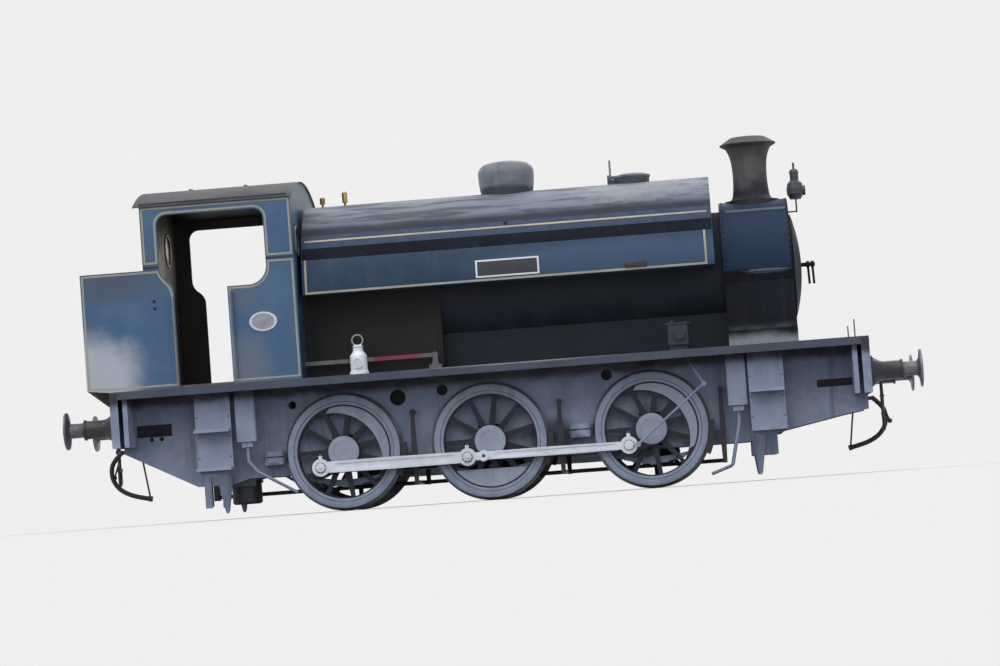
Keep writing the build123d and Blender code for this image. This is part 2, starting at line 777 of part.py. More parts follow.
def sandbox(side, x0, x1, corners):
    """A sandbox under the running plate, its filler cap, its hopper foot and its pipe."""
    y0 = side * sandbox_inner_y
    y1 = side * sandbox_outer_y
    middle_x = (x0 + x1) / 2
    middle_y = (y0 + y1) / 2
    piece = block(x0, x1, y0, y1, sandbox_bottom_z, plate_under_z)
    piece = fillet(piece.edges().filter_by(Axis.Z), 20)
    piece += block(middle_x - 60, middle_x + 60, middle_y - 45, middle_y + 45, sandbox_bottom_z - 60,
                   sandbox_bottom_z)
    pipe = bent_pipe([(x, side * y, z) for x, y, z in corners], 45, sand_pipe_dia)
    return piece + pipe


def sandboxes():
    pieces = [sandbox(side, x0, x1, corners) for name, x0, x1, corners in sandbox_table
              for side in sides.values()]
    return Compound(children=pieces)


# Brake gear

brake_ahead = 764
brake_y = 768
brake_block_width = 84
brake_block_thickness = 62
brake_rod_z = 250
hanger_top_z = 1020


def brake_hanger(side, axle_x):
    """One tapered hanger with its pivot and its curved block, just clear of the tread."""
    y = side * brake_y
    x = axle_x + brake_ahead + 5
    low_z = brake_rod_z - 24
    hanger = side_plate([(x - 22, low_z), (x - 34, axle_z - 60), (x - 20, hanger_top_z),
                         (x + 20, hanger_top_z), (x + 30, axle_z - 60), (x + 22, low_z)], y - 14, y + 14)
    hanger += rod_y(x, side * frame_outer_y, side * (brake_y + 25), hanger_top_z, 56)
    block_r = tread_dia / 2 + clear_gap
    back_r = block_r + brake_block_thickness
    lines = [arc_about(axle_x, axle_z, block_r, -27, 5), arc_about(axle_x, axle_z, back_r, -27, 5)]
    for turn in (-27, 5):
        lines.append(Line(in_side_view(at_angle(axle_x, axle_z, block_r, turn)),
                          in_side_view(at_angle(axle_x, axle_z, back_r, turn))))
    half = brake_block_width / 2
    shoe = curved_side_plate(lines, y - half, y + half)
    lug_z = axle_z - 110
    lug = block(axle_x + back_r - 24, x, y - 14, y + 14, lug_z - 45, lug_z + 45)
    return hanger + shoe + lug


def brake_hangers():
    hangers = [brake_hanger(side, row[1]) for side in sides.values() for row in wheelset_table]
    return Compound(children=hangers)


brake_shaft_x = -beam_face_x + 926
brake_shaft_z = 430
brake_cylinder_x = brake_shaft_x + 390
brake_cylinder_dia = 330


def brake_rods():
    """Cross beams between the hangers, the pull rod that joins them, and the brake shaft."""
    rods = rod_x(brake_shaft_x, front_axle_x + brake_ahead, 0, brake_rod_z, 44)
    reach = brake_y - 14
    for name, axle_x, *_ in wheelset_table:
        rods += rod_y(axle_x + brake_ahead + 5, -reach, reach, brake_rod_z, 48)
    rods += rod_y(brake_shaft_x, -frame_inner_y, frame_inner_y, brake_shaft_z, 90)
    for y in (0, -frame_inner_y + 60):
        arm_low_z = brake_rod_z - 40 if y == 0 else brake_rod_z - 100
        rods += block(brake_shaft_x - 38, brake_shaft_x + 38, y - 14, y + 14, arm_low_z, brake_shaft_z)
    return rods


def brake_cylinder():
    """The steam brake cylinder, upright under the drag box, with its bracket."""
    top_z = brake_shaft_z + 160
    x = brake_cylinder_x
    y = -frame_inner_y + 60 + brake_cylinder_dia / 2
    piece = turned_z([(0, 150), (brake_cylinder_dia / 2 - 24, 150), (brake_cylinder_dia / 2, 172),
                      (brake_cylinder_dia / 2, 372), (brake_cylinder_dia / 2 + 20, 380),
                      (brake_cylinder_dia / 2 + 20, 404), (0, 404)], x, y)
    bracket_y = -frame_inner_y + 30
    piece += block(x - 130, x + 130, -frame_inner_y, bracket_y, 404 - 60, top_z)
    piece += block(x - 130, x + 130, bracket_y, y, 404 - 24, 404)
    return piece


guard_iron_table = [
    # name, end, x of the tip, z of the top
    ("front", 1, 2862, 560),
    ("rear", -1, -2980, 470),
]


def guard_iron(end, side, tip_x, top_z):
    """An iron down from the frame, tapering to its tip just over the rail."""
    y0 = side * frame_outer_y
    return side_plate([(tip_x - end * 90, top_z), (tip_x + end * 90, top_z), (tip_x + end * 18, 96),
                       (tip_x + end * 6, 66), (tip_x - end * 16, 66), (tip_x - end * 30, 96)],
                      y0, y0 + side * 24)


def guard_irons():
    pieces = [guard_iron(end, side, tip_x, top_z)
              for name, end, tip_x, top_z in guard_iron_table for side in sides.values()]
    return Compound(children=pieces)


# Boiler, smokebox and tank

band_table = [firebox_front_x + 40, 500, 1500, smokebox_rear_x - 60]


def boiler():
    """The clothed barrel, with the bands that hold its clothing below the tank."""
    barrel = rod_x(firebox_front_x, smokebox_rear_x, 0, boiler_centre_z, boiler_dia)
    for x in band_table:
        band = rod_x(x, x + 50, 0, boiler_centre_z, boiler_dia + 10)
        barrel += band - block(x - 5, x + 55, -boiler_r - 10, boiler_r + 10, tank_bottom_z - 5,
                               boiler_centre_z + boiler_dia)
    return barrel


def firebox():
    """Round-topped firebox, with its narrow lower part between the frames."""
    outer = rod_x(firebox_rear_x, firebox_front_x, 0, boiler_centre_z, boiler_dia)
    outer += block(firebox_rear_x, firebox_front_x, -boiler_r, boiler_r, plate_top_z, boiler_centre_z)
    foot = firebox_foot_width / 2
    foot_rear_x = rear_axle_x + axle_dia / 2 + 70
    foot_front_x = middle_axle_x - inside_throw - 190
    outer += block(foot_rear_x, foot_front_x, -foot, foot, frame_bottom_z + 190, plate_top_z)
    outer += block(foot_rear_x + 60, foot_front_x - 60, -foot + 60, foot - 60, frame_bottom_z - 30,
                   frame_bottom_z + 190)
    return outer


ledge_z = boiler_centre_z - 62


def smokebox():
    """A hollow drum with a rear wall, a front ring, side ledges and the hole under the chimney."""
    drum = rod_x(smokebox_rear_x, smokebox_front_x, 0, boiler_centre_z, smokebox_dia)
    for side in sides.values():
        y0 = side * (smokebox_r - 40)
        y1 = side * (smokebox_r + 18)
        for x0, x1 in ((smokebox_rear_x + 15, chimney_x - 110), (chimney_x - 30, smokebox_front_x - 15)):
            drum += block(x0, x1, y0, y1, ledge_z - 14, ledge_z)
        drum += rod_y(chimney_x - 70, y0, y1 + side * 20, ledge_z + 12, 64)
    hollow = rod_x(smokebox_rear_x + smokebox_wall, smokebox_front_x - smokebox_wall, 0,
                   boiler_centre_z, smokebox_dia - 2 * smokebox_wall)
    mouth = rod_x(smokebox_front_x - 60, smokebox_front_x + 60, 0, boiler_centre_z, door_dia - 60)
    flue = rod_z(chimney_x, 0, boiler_centre_z, boiler_centre_z + smokebox_dia, chimney_bore)
    return drum - hollow - mouth - flue


def smokebox_saddle():
    """The casting that carries the smokebox: upright sides that spread into a foot."""
    top_z = boiler_centre_z - 150
    foot_z = plate_top_z + 175
    spread = saddle_foot_width - saddle_half_width
    lines = [Line((0, -saddle_foot_width, plate_top_z), (0, saddle_foot_width, plate_top_z)),
             Line((0, -saddle_half_width, top_z), (0, saddle_half_width, top_z))]
    for side in sides.values():
        lines.append(Line((0, side * saddle_foot_width, plate_top_z), (0, side * saddle_foot_width, foot_z)))
        centre_y = side * saddle_foot_width
        centre_z = foot_z + spread
        middle_y = centre_y - side * spread * math.sin(math.radians(45))
        middle_z = centre_z - spread * math.cos(math.radians(45))
        lines.append(ThreePointArc((0, centre_y, foot_z), (0, middle_y, middle_z),
                                   (0, side * saddle_half_width, centre_z)))
        lines.append(Line((0, side * saddle_half_width, centre_z), (0, side * saddle_half_width, top_z)))
    saddle = cross_plate(lines, smokebox_rear_x, smokebox_front_x)
    for side in sides.values():
        seam_y = side * (saddle_half_width - 10)
        saddle += block(chimney_x - 42, chimney_x - 16, seam_y, side * (saddle_half_width + 8),
                        foot_z + spread, top_z)
    return saddle - rod_x(smokebox_rear_x - 10, smokebox_front_x + 10, 0, boiler_centre_z,
                          smokebox_dia + 2 * seat_gap)


def blast_pipe():
    foot_z = boiler_centre_z - smokebox_r + smokebox_wall + seat_gap
    pipe = turned_z([(0, foot_z - 20), (130, foot_z - 20), (95, foot_z + 420), (70, foot_z + 620),
                     (0, foot_z + 620)], chimney_x, 0)
    inside = rod_x(smokebox_rear_x, smokebox_front_x, 0, boiler_centre_z,
                   smokebox_dia - 2 * smokebox_wall - 2 * seat_gap)
    return pipe & inside


hinge_pin_y = 650
hinge_pin_x = smokebox_front_x + 40
hinge_pin_dia = 30
hinge_heights = (boiler_centre_z - hinge_spread, boiler_centre_z + hinge_spread)


def smokebox_door():
    """The dished door with its hinge straps and central dart handles."""
    back = smokebox_front_x + seat_gap
    r = door_dia / 2
    rim = 34
    crown = back + door_dish
    dish_half = r - rim
    dish_z = boiler_centre_z
    middle_r = dish_half * 0.55
    middle_x = back + rim + (door_dish - rim) * (1 - 0.55 ** 2)
    dish = ThreePointArc((back + rim, 0, dish_half), (middle_x, 0, middle_r), (crown, 0, 0))
    lines = [Line((back, 0, 0), (back, 0, r)), Line((back, 0, r), (back + 22, 0, r)),
             Line((back + 22, 0, r), (back + rim, 0, dish_half)), dish, Line((crown, 0, 0), (back, 0, 0))]
    door = Pos(0, 0, dish_z) * revolve(make_face(Curve() + lines), Axis.X, 360)
    for z in hinge_heights:
        door += block(back + 15, back + 45, 120, hinge_pin_y, z - 35, z + 35)
        door += rod_z(hinge_pin_x, hinge_pin_y, z - 35, z + 35, 60)
        door -= rod_z(hinge_pin_x, hinge_pin_y, z - 40, z + 40, hinge_pin_dia + 2 * running_gap)
    door += rod_x(crown - 20, crown + 150, 0, boiler_centre_z, 46)
    for handle_x in (crown + 72, crown + 122):
        door += rod_x(handle_x - 16, handle_x + 16, 0, boiler_centre_z, 76)
        door += bar((handle_x, 0, boiler_centre_z), (handle_x + 6, 0, boiler_centre_z - 215), 26)
    return door


def door_hinges():
    """Brackets on the smokebox front and the pin that the door turns on."""
    pin = rod_z(hinge_pin_x, hinge_pin_y, hinge_heights[0] - 90, hinge_heights[1] + 90, hinge_pin_dia)
    for z in (hinge_heights[0] - 75, hinge_heights[1] + 75):
        pin += block(smokebox_front_x, hinge_pin_x + 28, hinge_pin_y - 28, hinge_pin_y + 28, z - 20, z + 20)
    return pin


chimney_cap_height = 590


def chimney():
    """The stack: a foot flared to the drum, a slight waist and a trumpet below the cap."""
    base_z = boiler_centre_z + smokebox_r
    bore = chimney_bore / 2
    low = base_z - 66
    top = base_z + chimney_cap_height
    lines = [Line((bore, 0, low), (300, 0, low)), Line((300, 0, low), (300, 0, base_z + 4)),
             ThreePointArc((300, 0, base_z + 4), (224, 0, base_z + 27), (202, 0, base_z + 80)),
             ThreePointArc((202, 0, base_z + 80), (188, 0, base_z + 250), (196, 0, base_z + 430)),
             ThreePointArc((196, 0, base_z + 430), (215, 0, base_z + 515), (248, 0, top)),
             Line((248, 0, top), (bore, 0, top)), Line((bore, 0, top), (bore, 0, low))]
    stack = turned_lines(lines, chimney_x, 0)
    return stack - rod_x(smokebox_rear_x, smokebox_front_x, 0, boiler_centre_z, smokebox_dia + 2 * seat_gap)


def chimney_cap():
    """The cast cap on the stack, with its lip and its coned top."""
    bore = chimney_bore / 2
    low = boiler_centre_z + smokebox_r + chimney_cap_height
    top = boiler_centre_z + smokebox_r + chimney_height
    return turned_z([(bore, low), (248, low), (306, low + 32), (312, low + 44), (204, top - 8),
                     (bore + 18, top), (bore, top)], chimney_x, 0)


def half_shell(x0, x1, outer_r, inner_r, low_z):
    """The upper part of a tube along X, cut off level at low_z."""
    shell = rod_x(x0, x1, 0, boiler_centre_z, 2 * outer_r)
    shell -= rod_x(x0 - 5, x1 + 5, 0, boiler_centre_z, 2 * inner_r)
    return shell - block(x0 - 5, x1 + 5, -outer_r - 5, outer_r + 5, boiler_centre_z - outer_r - 5, low_z)


def saddle_tank():
    """The tank astride the boiler, with the well under its filler."""
    tank = half_shell(tank_rear_x, tank_front_x, tank_r, boiler_r + seat_gap, tank_bottom_z)
    well_dia = filler_dia - 50
    return tank - rod_z(filler_x, 0, tank_crown_z - 120, tank_crown_z + 50, well_dia)


def on_tank(solid):
    """Cuts a piece to the curve of the tank's top, so that it sits on it."""
    return solid - rod_x(tank_rear_x, tank_front_x, 0, boiler_centre_z, tank_dia + 2 * seat_gap)


def domed_top(r, top_z, shoulder_r, crown_r):
    """A small arc from the upright side of a round cover, and the large one over its top."""
    crown_centre_z = top_z - crown_r
    rise = math.sqrt((crown_r - shoulder_r) ** 2 - (r - shoulder_r) ** 2)
    shoulder_z = crown_centre_z + rise
    meet = math.degrees(math.atan2(rise, r - shoulder_r))
    arcs = [arc_about(r - shoulder_r, shoulder_z, shoulder_r, 0, meet),
            arc_about(0, crown_centre_z, crown_r, meet, 90)]
    return arcs, shoulder_z


def dome_cover():
    """A dome that swells from its foot, with rounded shoulders and a low crown."""
    r = dome_dia / 2
    foot_z = tank_crown_z - 50
    top_z = tank_crown_z + dome_height
    arcs, shoulder_z = domed_top(r, top_z, dome_shoulder_r, dome_crown_r)
    drop = math.degrees(math.asin((shoulder_z - foot_z) / dome_side_r))
    side_line = arc_about(r - dome_side_r, shoulder_z, dome_side_r, -drop, 0)
    lines = [Line((0, 0, foot_z), side_line @ 0), side_line, *arcs, Line((0, 0, top_z), (0, 0, foot_z))]
    return on_tank(turned_lines(lines, dome_x, 0))


lid_pin_dia = 20


def tank_filler():
    """The filler's neck, with the lugs and pin of its lid."""
    r = filler_dia / 2
    crown = tank_crown_z
    neck = on_tank(turned_z([(r - 25, crown - 60), (r, crown - 60), (r, crown + 60), (r - 25, crown + 60)],
                            filler_x, 0))
    pin_x = filler_x - lid_hinge_back
    for y in (-60, 60):
        neck += on_tank(block(pin_x - 25, pin_x + 25, y - 10, y + 10, crown - 40, crown + 100))
        neck += on_tank(block(pin_x, pin_x + 65, y - 10, y + 10, crown - 40, crown + 50))
    neck += rod_y(pin_x, -70, 70, crown + 78, lid_pin_dia)
    return neck


def tank_lid():
    """The lid with its hinge strap and the upright handle at the hinge."""
    r = filler_dia / 2 + 10
    base = tank_crown_z + 60 + seat_gap
    pin_x = filler_x - lid_hinge_back
    pin_z = tank_crown_z + 78
    lid = turned_z([(0, base), (r, base), (r, base + 22), (r * 0.6, base + 44), (0, base + 50)], filler_x, 0)
    lid += block(pin_x, pin_x + 95, -45, 45, pin_z - 12, pin_z + 12)
    lid += rod_y(pin_x, -45, 45, pin_z, 40)
    lid += rod_z(pin_x + 10, 0, pin_z + 10, tank_crown_z + 270, 22)
    return lid - rod_y(pin_x, -80, 80, pin_z, lid_pin_dia + 2 * running_gap)


whistle_table = [
    # x, height above the tank
    (-1771, 110),
    (-1520, 155),
]


def whistle(x, height):
    """A whistle's bell on its stem."""
    crown = tank_crown_z
    return on_tank(turned_z([(0, crown - 30), (14, crown - 30), (14, crown + 30), (30, crown + 36),
                             (30, crown + height - 14), (18, crown + height), (0, crown + height)], x, 0))


def whistles():
    return Compound(children=[whistle(x, height) for x, height in whistle_table])


# Cab

def roof_z(y, radius):
    return roof_centre_z + math.sqrt(radius ** 2 - y ** 2)


def side_opening_lines():
    """The doorway and the look-out above it, as one outline."""
    fore = 200
    top = 110
    lean_x = (lookout_rear_x + door_rear_x) / 2
    lean_high_z = sill_z + 245
    lean_low_z = sill_z - 25
    lean_z = (lean_high_z + lean_low_z) / 2
    foot_z = plate_top_z - 20
    return [Line((door_rear_x, 0, foot_z), (door_front_x, 0, foot_z)),
            Line((door_front_x, 0, foot_z), (door_front_x, 0, sill_z)),
            Line((door_front_x, 0, sill_z), (lookout_front_x - fore, 0, sill_z)),
            arc_about(lookout_front_x - fore, sill_z + fore, fore, 270, 360),
            Line((lookout_front_x, 0, sill_z + fore), (lookout_front_x, 0, lookout_top_z - top)),
            arc_about(lookout_front_x - top, lookout_top_z - top, top, 0, 90),
            Line((lookout_front_x - top, 0, lookout_top_z), (lookout_rear_x + top, 0, lookout_top_z)),
            arc_about(lookout_rear_x + top, lookout_top_z - top, top, 90, 180),
            Line((lookout_rear_x, 0, lookout_top_z - top), (lookout_rear_x, 0, lean_high_z)),
            TangentArc((lookout_rear_x, 0, lean_high_z), (lean_x, 0, lean_z), tangent=(0, 0, -1)),
            TangentArc((door_rear_x, 0, lean_low_z), (lean_x, 0, lean_z), tangent=(0, 0, 1)),
            Line((door_rear_x, 0, lean_low_z), (door_rear_x, 0, foot_z))]


handrail_dia = 28
handrail_inset = 38


def handrail(side, x):
    """An upright handrail beside the doorway, on its two stanchions."""
    y = side * (cab_half_width + handrail_inset)
    rail = rod_z(x, y, plate_top_z + 60, sill_z - 60, handrail_dia)
    for z in (plate_top_z + 110, sill_z - 110):
        rail += rod_y(x, side * (cab_half_width - 2), y, z, 20)
    return rail


def cab_side(side):
    """A side sheet of cab and bunker, with its doorway, look-out and handrails."""
    y_out = side * cab_half_width
    y_in = side * cab_inner_y
    top_z = roof_z(cab_half_width, roof_r - roof_sheet) - seat_gap
    outline = [(bunker_rear_x, plate_top_z + 30), (bunker_rear_x, bunker_top_z), (cab_rear_x, bunker_top_z),
               (cab_rear_x, top_z), (cab_front_x, top_z), (cab_front_x, plate_top_z),
               (-beam_face_x, plate_top_z)]
    sheet = side_plate(outline, y_in, y_out)
    sheet -= curved_side_plate(side_opening_lines(), y_in - side * 5, y_out + side * 5)
    for x in (door_rear_x - 42, door_front_x + 42):
        sheet += handrail(side, x)
    return sheet


def arched_plate(x0, x1, low_z, half_width):
    """A cross plate whose top follows the underside of the roof."""
    under = roof_r - roof_sheet - seat_gap
    top = roof_z(half_width, under)
    lines = [Line((0, half_width, top), (0, half_width, low_z)),
             Line((0, half_width, low_z), (0, -half_width, low_z)),
             Line((0, -half_width, low_z), (0, -half_width, top)),
             ThreePointArc((0, -half_width, top), (0, 0, roof_z(0, under)), (0, half_width, top))]
    return cross_plate(lines, x0, x1)


def spectacle(plate, x0, x1, y, z, dia):
    """Cuts a round window and puts its ring round it on both faces."""
    ring = rod_x(x0 - 8, x1 + 8, y, z, dia + 50)
    return plate + ring - rod_x(x0 - 12, x1 + 12, y, z, dia)


front_window_y = 830
front_window_z = 2960
front_window_dia = 300
rear_window_y = 560
rear_window_z = 3080
rear_window_dia = 340
shovel_half_width = 250


def cab_front():
    """The front spectacle plate, cut out round the firebox and for the reversing rod."""
    x1 = cab_front_x
    x0 = x1 - cab_plate
    plate = arched_plate(x0, x1, plate_top_z, cab_inner_y)
    gap = boiler_r + seat_gap
    plate -= rod_x(x0 - 5, x1 + 5, 0, boiler_centre_z, 2 * gap)
    plate -= block(x0 - 5, x1 + 5, -gap, gap, plate_top_z - 5, boiler_centre_z)
    plate -= block(x0 - 5, x1 + 5, -reversing_rod_y - 20, -reversing_rod_y + 20, reversing_rod_z - 40,
                   reversing_rod_z + 40)
    for side in sides.values():
        plate = spectacle(plate, x0, x1, side * front_window_y, front_window_z, front_window_dia)
    return plate


def cab_rear():
    x0 = cab_rear_x
    x1 = x0 + cab_plate
    plate = arched_plate(x0, x1, plate_top_z + floor_thickness + 1, cab_inner_y)
    for side in sides.values():
        plate = spectacle(plate, x0, x1, side * rear_window_y, rear_window_z, rear_window_dia)
    hole_z = plate_top_z + 60
    return plate - block(x0 - 5, x1 + 5, -shovel_half_width, shovel_half_width, hole_z, hole_z + 440)


def bunker():
    """Rear wall and sloping foot of the coal bunker."""
    x0 = bunker_rear_x
    x1 = x0 + cab_plate
    foot_z = plate_top_z + 30
    wall = block(x0, x1, -cab_inner_y, cab_inner_y, foot_z, bunker_top_z)
    foot = side_plate([(x0, foot_z), (x0, foot_z + 12), (x1, foot_z + 12), (-beam_face_x, plate_top_z - 150),
                       (-beam_face_x, plate_top_z - 168)], -cab_inner_y, cab_inner_y)
    return wall + foot


def roof_sheet_shell(x0, x1, inner_r, outer_r, y0, y1):
    """Part of the roof's curve between two widths and two radii."""
    tube = Cylinder(outer_r, x1 - x0) - Cylinder(inner_r, x1 - x0 + 2)
    tube = Pos((x0 + x1) / 2, 0, roof_centre_z) * Rot(0, 90, 0) * tube
    return tube & block(x0 - 5, x1 + 5, y0, y1, roof_centre_z + roof_r / 2, roof_centre_z + roof_r * 1.1)


def cab_roof():
    """The roof sheet with the hatch hole, its two runners and a rain strip over each side."""
    x0 = cab_rear_x - roof_overhang_rear
    x1 = cab_front_x + roof_overhang_front
    half = roof_half_width
    roof = roof_sheet_shell(x0, x1, roof_r - roof_sheet, roof_r, -half, half)
    roof -= block(hatch_x0, hatch_x1, -hatch_half_width, hatch_half_width, eave_z, roof_crown_z + 50)
    for x in (hatch_x0 - 16, hatch_x1 + 4):
        roof += roof_sheet_shell(x, x + 12, roof_r - 1, roof_r + hatch_lift, -330, 960)
    for side in sides.values():
        strip_y = (side * (half - 60), side * (half - 40))
        roof += roof_sheet_shell(x0 + 60, x1 - 60, roof_r - 1, roof_r + 20, min(strip_y), max(strip_y))
    return roof


def roof_hatch():
    """The sliding ventilator, stored open towards the left side."""
    inner = roof_r + hatch_lift + seat_gap
    panel = roof_sheet_shell(hatch_x0 - 30, hatch_x1 + 30, inner, inner + 8, -330, 330)
    axis = Axis((0, 0, roof_centre_z), (1, 0, 0))
    return panel.rotate(axis, -hatch_open_deg)


def cab_floor():
    half = cab_inner_y - 10
    return block(cab_rear_x + cab_plate + 1, firebox_rear_x - 1, -half, half, plate_top_z,
                 plate_top_z + floor_thickness)


motion_cover_y = 440


def platforms():
    """The plates between the frames, and the upright covers under the barrel's sides."""
    half = frame_inner_y - 15
    front = block(firebox_front_x + seat_gap, beam_face_x, -half, half, plate_under_z, plate_top_z)
    for side in sides.values():
        y0 = side * motion_cover_y
        front += block(firebox_front_x + seat_gap, smokebox_rear_x - seat_gap, y0, y0 + side * 10,
                       plate_top_z, boiler_centre_z)
    front -= rod_x(firebox_front_x - 5, smokebox_rear_x + 5, 0, boiler_centre_z,
                   boiler_dia + 2 * clear_gap + 10)
    rear = block(-beam_face_x, firebox_rear_x, -half, half, plate_under_z, plate_top_z)
    return Compound(children=[front, rear])


firehole_z = 1960
regulator_z = 2640
reverser_x = firebox_rear_x - reverser_back


def cab_fittings():
    """What the backhead carries: fire door, regulator, gauge glasses, gauges and valves."""
    face = firebox_rear_x
    piece = rod_x(face - 36, face, 0, firehole_z, fire_door_dia)
    piece += rod_x(face - 60, face - 36, 0, firehole_z, fire_door_dia - 100)
    piece += block(face - 76, face - 36, -190, -130, firehole_z - 30, firehole_z + 30)
    piece += block(face - 46, face, -300, 300, firehole_z - 262, firehole_z - 238)
    piece += rod_x(face - 120, face, 0, regulator_z, 90)
    piece += bar((face - 110, -150, regulator_z + 240), (face - 110, 110, regulator_z - 180), 34)
    for y in (-210, 210):
        piece += rod_z(face - 70, y, regulator_z - 396, regulator_z - 44, 44)
        for z in (regulator_z - 360, regulator_z - 80):
            piece += rod_x(face - 70, face, y, z, 40)
    manifold_z = boiler_centre_z + boiler_r - 110
    piece += rod_y(face - 60, -240, 240, manifold_z, 80)
    piece += rod_x(face - 60, face, 0, manifold_z, 60)
    for y in (-180, -60, 60, 180):
        piece += rod_x(face - 150, face - 60, y, manifold_z, 22)
        piece += rod_x(face - 160, face - 146, y, manifold_z, 90)
    return piece


def reverser_stand():
    """The screw reverser on its stand at the driver's side, with its handwheel."""
    y = -reversing_rod_y
    floor_z = plate_top_z + floor_thickness
    stand = side_plate([(reverser_x - 90, floor_z), (reverser_x + 150, floor_z),
                        (reverser_x + 90, reversing_rod_z + 76), (reverser_x - 50, reversing_rod_z + 76)],
                       y - 50, y + 50)
    stand += rod_x(reverser_x - 142, reverser_x + 120, y, reversing_rod_z + 30, 60)
    wheel = rod_x(reverser_x - 150, reverser_x - 126, y, reversing_rod_z + 30, 300)
    wheel -= rod_x(reverser_x - 155, reverser_x - 120, y, reversing_rod_z + 30, 250)
    wheel += block(reverser_x - 146, reverser_x - 130, y - 135, y + 135, reversing_rod_z + 14,
                   reversing_rod_z + 46)
    return stand + wheel


# Small fittings

headlamp_x = smokebox_front_x + 106


def headlamp():
    """The round-bellied lamp on the iron at the top of the smokebox front."""
    x = headlamp_x
    foot = boiler_centre_z + 587
    iron = block(smokebox_front_x, x + 10, -20, 20, foot, foot + 14)
    iron += block(x - 8, x + 10, -20, 20, foot, foot + 160)
    lamp = turned_z([(0, foot + 143), (58, foot + 143), (92, foot + 200), (95, foot + 262), (80, foot + 320),
                     (48, foot + 352), (48, foot + 430), (56, foot + 436), (40, foot + 470), (12, foot + 482),
                     (12, foot + 548), (0, foot + 548)], x, 0)
    lamp += rod_x(x + 40, x + 104, 0, foot + 236, 110)
    return iron + lamp


lubricator_x = 2074
lubricator_y = -1000
drive_rod_y = -(pin_outer_y + clear_gap + 13)


def lubricator():
    """The mechanical lubricator with the lever and rod that drive it."""
    x = lubricator_x
    y = lubricator_y
    base = plate_top_z
    box = block(x - 110, x + 110, y - 75, y + 75, base + 60, base + 290)
    box = fillet(box.edges().filter_by(Axis.Z), 18)
    box += block(x - 130, x + 130, y - 85, y + 85, base + 282, base + 300)
    box += block(x - 90, x + 90, y - 50, y + 50, base, base + 60)
    box += rod_y(x + 20, y - 110, y - 75, base + 170, 110)
    box += rod_z(x - 60, y, base + 300, base + 330, 50)
    hanger_z = plate_under_z
    lever_top = (x + 84, drive_rod_y, hanger_z - 88)
    lever_foot = (x + 236, drive_rod_y, hanger_z - 362)
    rod_start_x, rod_start_z = at_angle(front_axle_x, axle_z, crank_throw, crank_angle_right)
    rod_start = (rod_start_x + 100, drive_rod_y, rod_start_z)
    drive = bar(lever_top, lever_foot, 26) + bar(rod_start, lever_foot, 26)
    drive += rod_y(lever_foot[0], drive_rod_y - 20, drive_rod_y + 16, lever_foot[2], 56)
    drive += rod_y(lever_top[0], drive_rod_y - 60, drive_rod_y + 16, lever_top[2], 60)
    drive += rod_y(rod_start[0], drive_rod_y - 16, drive_rod_y + 14, rod_start[2], 60)
    drive += block(lever_top[0] - 30, lever_top[0] + 30, drive_rod_y - 60, drive_rod_y - 40,
                   lever_top[2], hanger_z)
    return Compound(children=[box, drive])


reversing_rod_front_x = -578
reversing_rod_depth = 44


def reversing_rod():
    """The flat rod from the reverser to the arm that it works, on a pedestal on the running plate."""
    y = -reversing_rod_y
    half = reversing_rod_depth / 2
    x0 = reverser_x + 160
    x1 = reversing_rod_front_x
    rod = block(x0, x1, y - 9, y + 9, reversing_rod_z - half, reversing_rod_z + half)
    rod += rod_y(x1, y - 22, y + 22, reversing_rod_z, 64)
    rod += side_plate([(x1 - 24, reversing_rod_z), (x1 + 24, reversing_rod_z), (x1 + 34, plate_top_z + 60),
                       (x1 - 34, plate_top_z + 60)], y - 32, y - 14)
    rod += rod_y(x1, y - 60, y + 30, plate_top_z + 60, 76)
    rod += block(x1 - 70, x1 + 70, y - 60, y - 36, plate_top_z, plate_top_z + 60)
    return rod


hand_lamp_x = -1380
hand_lamp_y = -1090


def hand_lamp():
    """A hand lamp that stands on the running plate, with its ring handle."""
    x = hand_lamp_x
    y = hand_lamp_y
    base = plate_top_z
    body = turned_z([(0, base), (104, base), (104, base + 24), (92, base + 40), (92, base + 200),
                     (56, base + 250), (52, base + 292), (64, base + 300), (30, base + 318), (0, base + 318)],
                    x, y)
    body += rod_y(x, y - 118, y - 80, base + 120, 100)
    ring = Pos(x, y, base + 368) * Rot(90, 0, 0) * Torus(58, 9)
    return body + ring


hose_y = 300
hose_pipe_z = beam_bottom_z - 32
hose_elbow = 60
hose_start_out = 105
hose_start_z = hose_pipe_z - hose_elbow * math.sin(math.radians(45))
hose_run_table = [
    # heading below the level, length of the run
    (45, 80),
    (70, 80),
    (90, 85),
    (110, 90),
    (130, 95),
    (150, 110),
    (162, 110),
    (168, 100),
]


def hose_route(end):
    """The corners of a hanging brake hose, from its pipe to its resting plug."""
    out = hose_start_out
    z = hose_start_z
    points = [(end * (beam_face_x + out), end * hose_y, z)]
    for heading, run in hose_run_table:
        out += run * math.cos(math.radians(heading))
        z -= run * math.sin(math.radians(heading))
        points.append((end * (beam_face_x + out), end * hose_y, z))
    return points


def hose_radii():
    """The largest arc that the shorter of two neighbouring runs allows at each corner."""
    radii = []
    for (heading, run), (next_heading, next_run) in zip(hose_run_table, hose_run_table[1:]):
        half_turn = math.radians(next_heading - heading) / 2
        radii.append(0.45 * min(run, next_run) / math.tan(half_turn))
    return radii


def brake_hose(end):
    return bent_pipe(hose_route(end), hose_radii(), hose_dia)


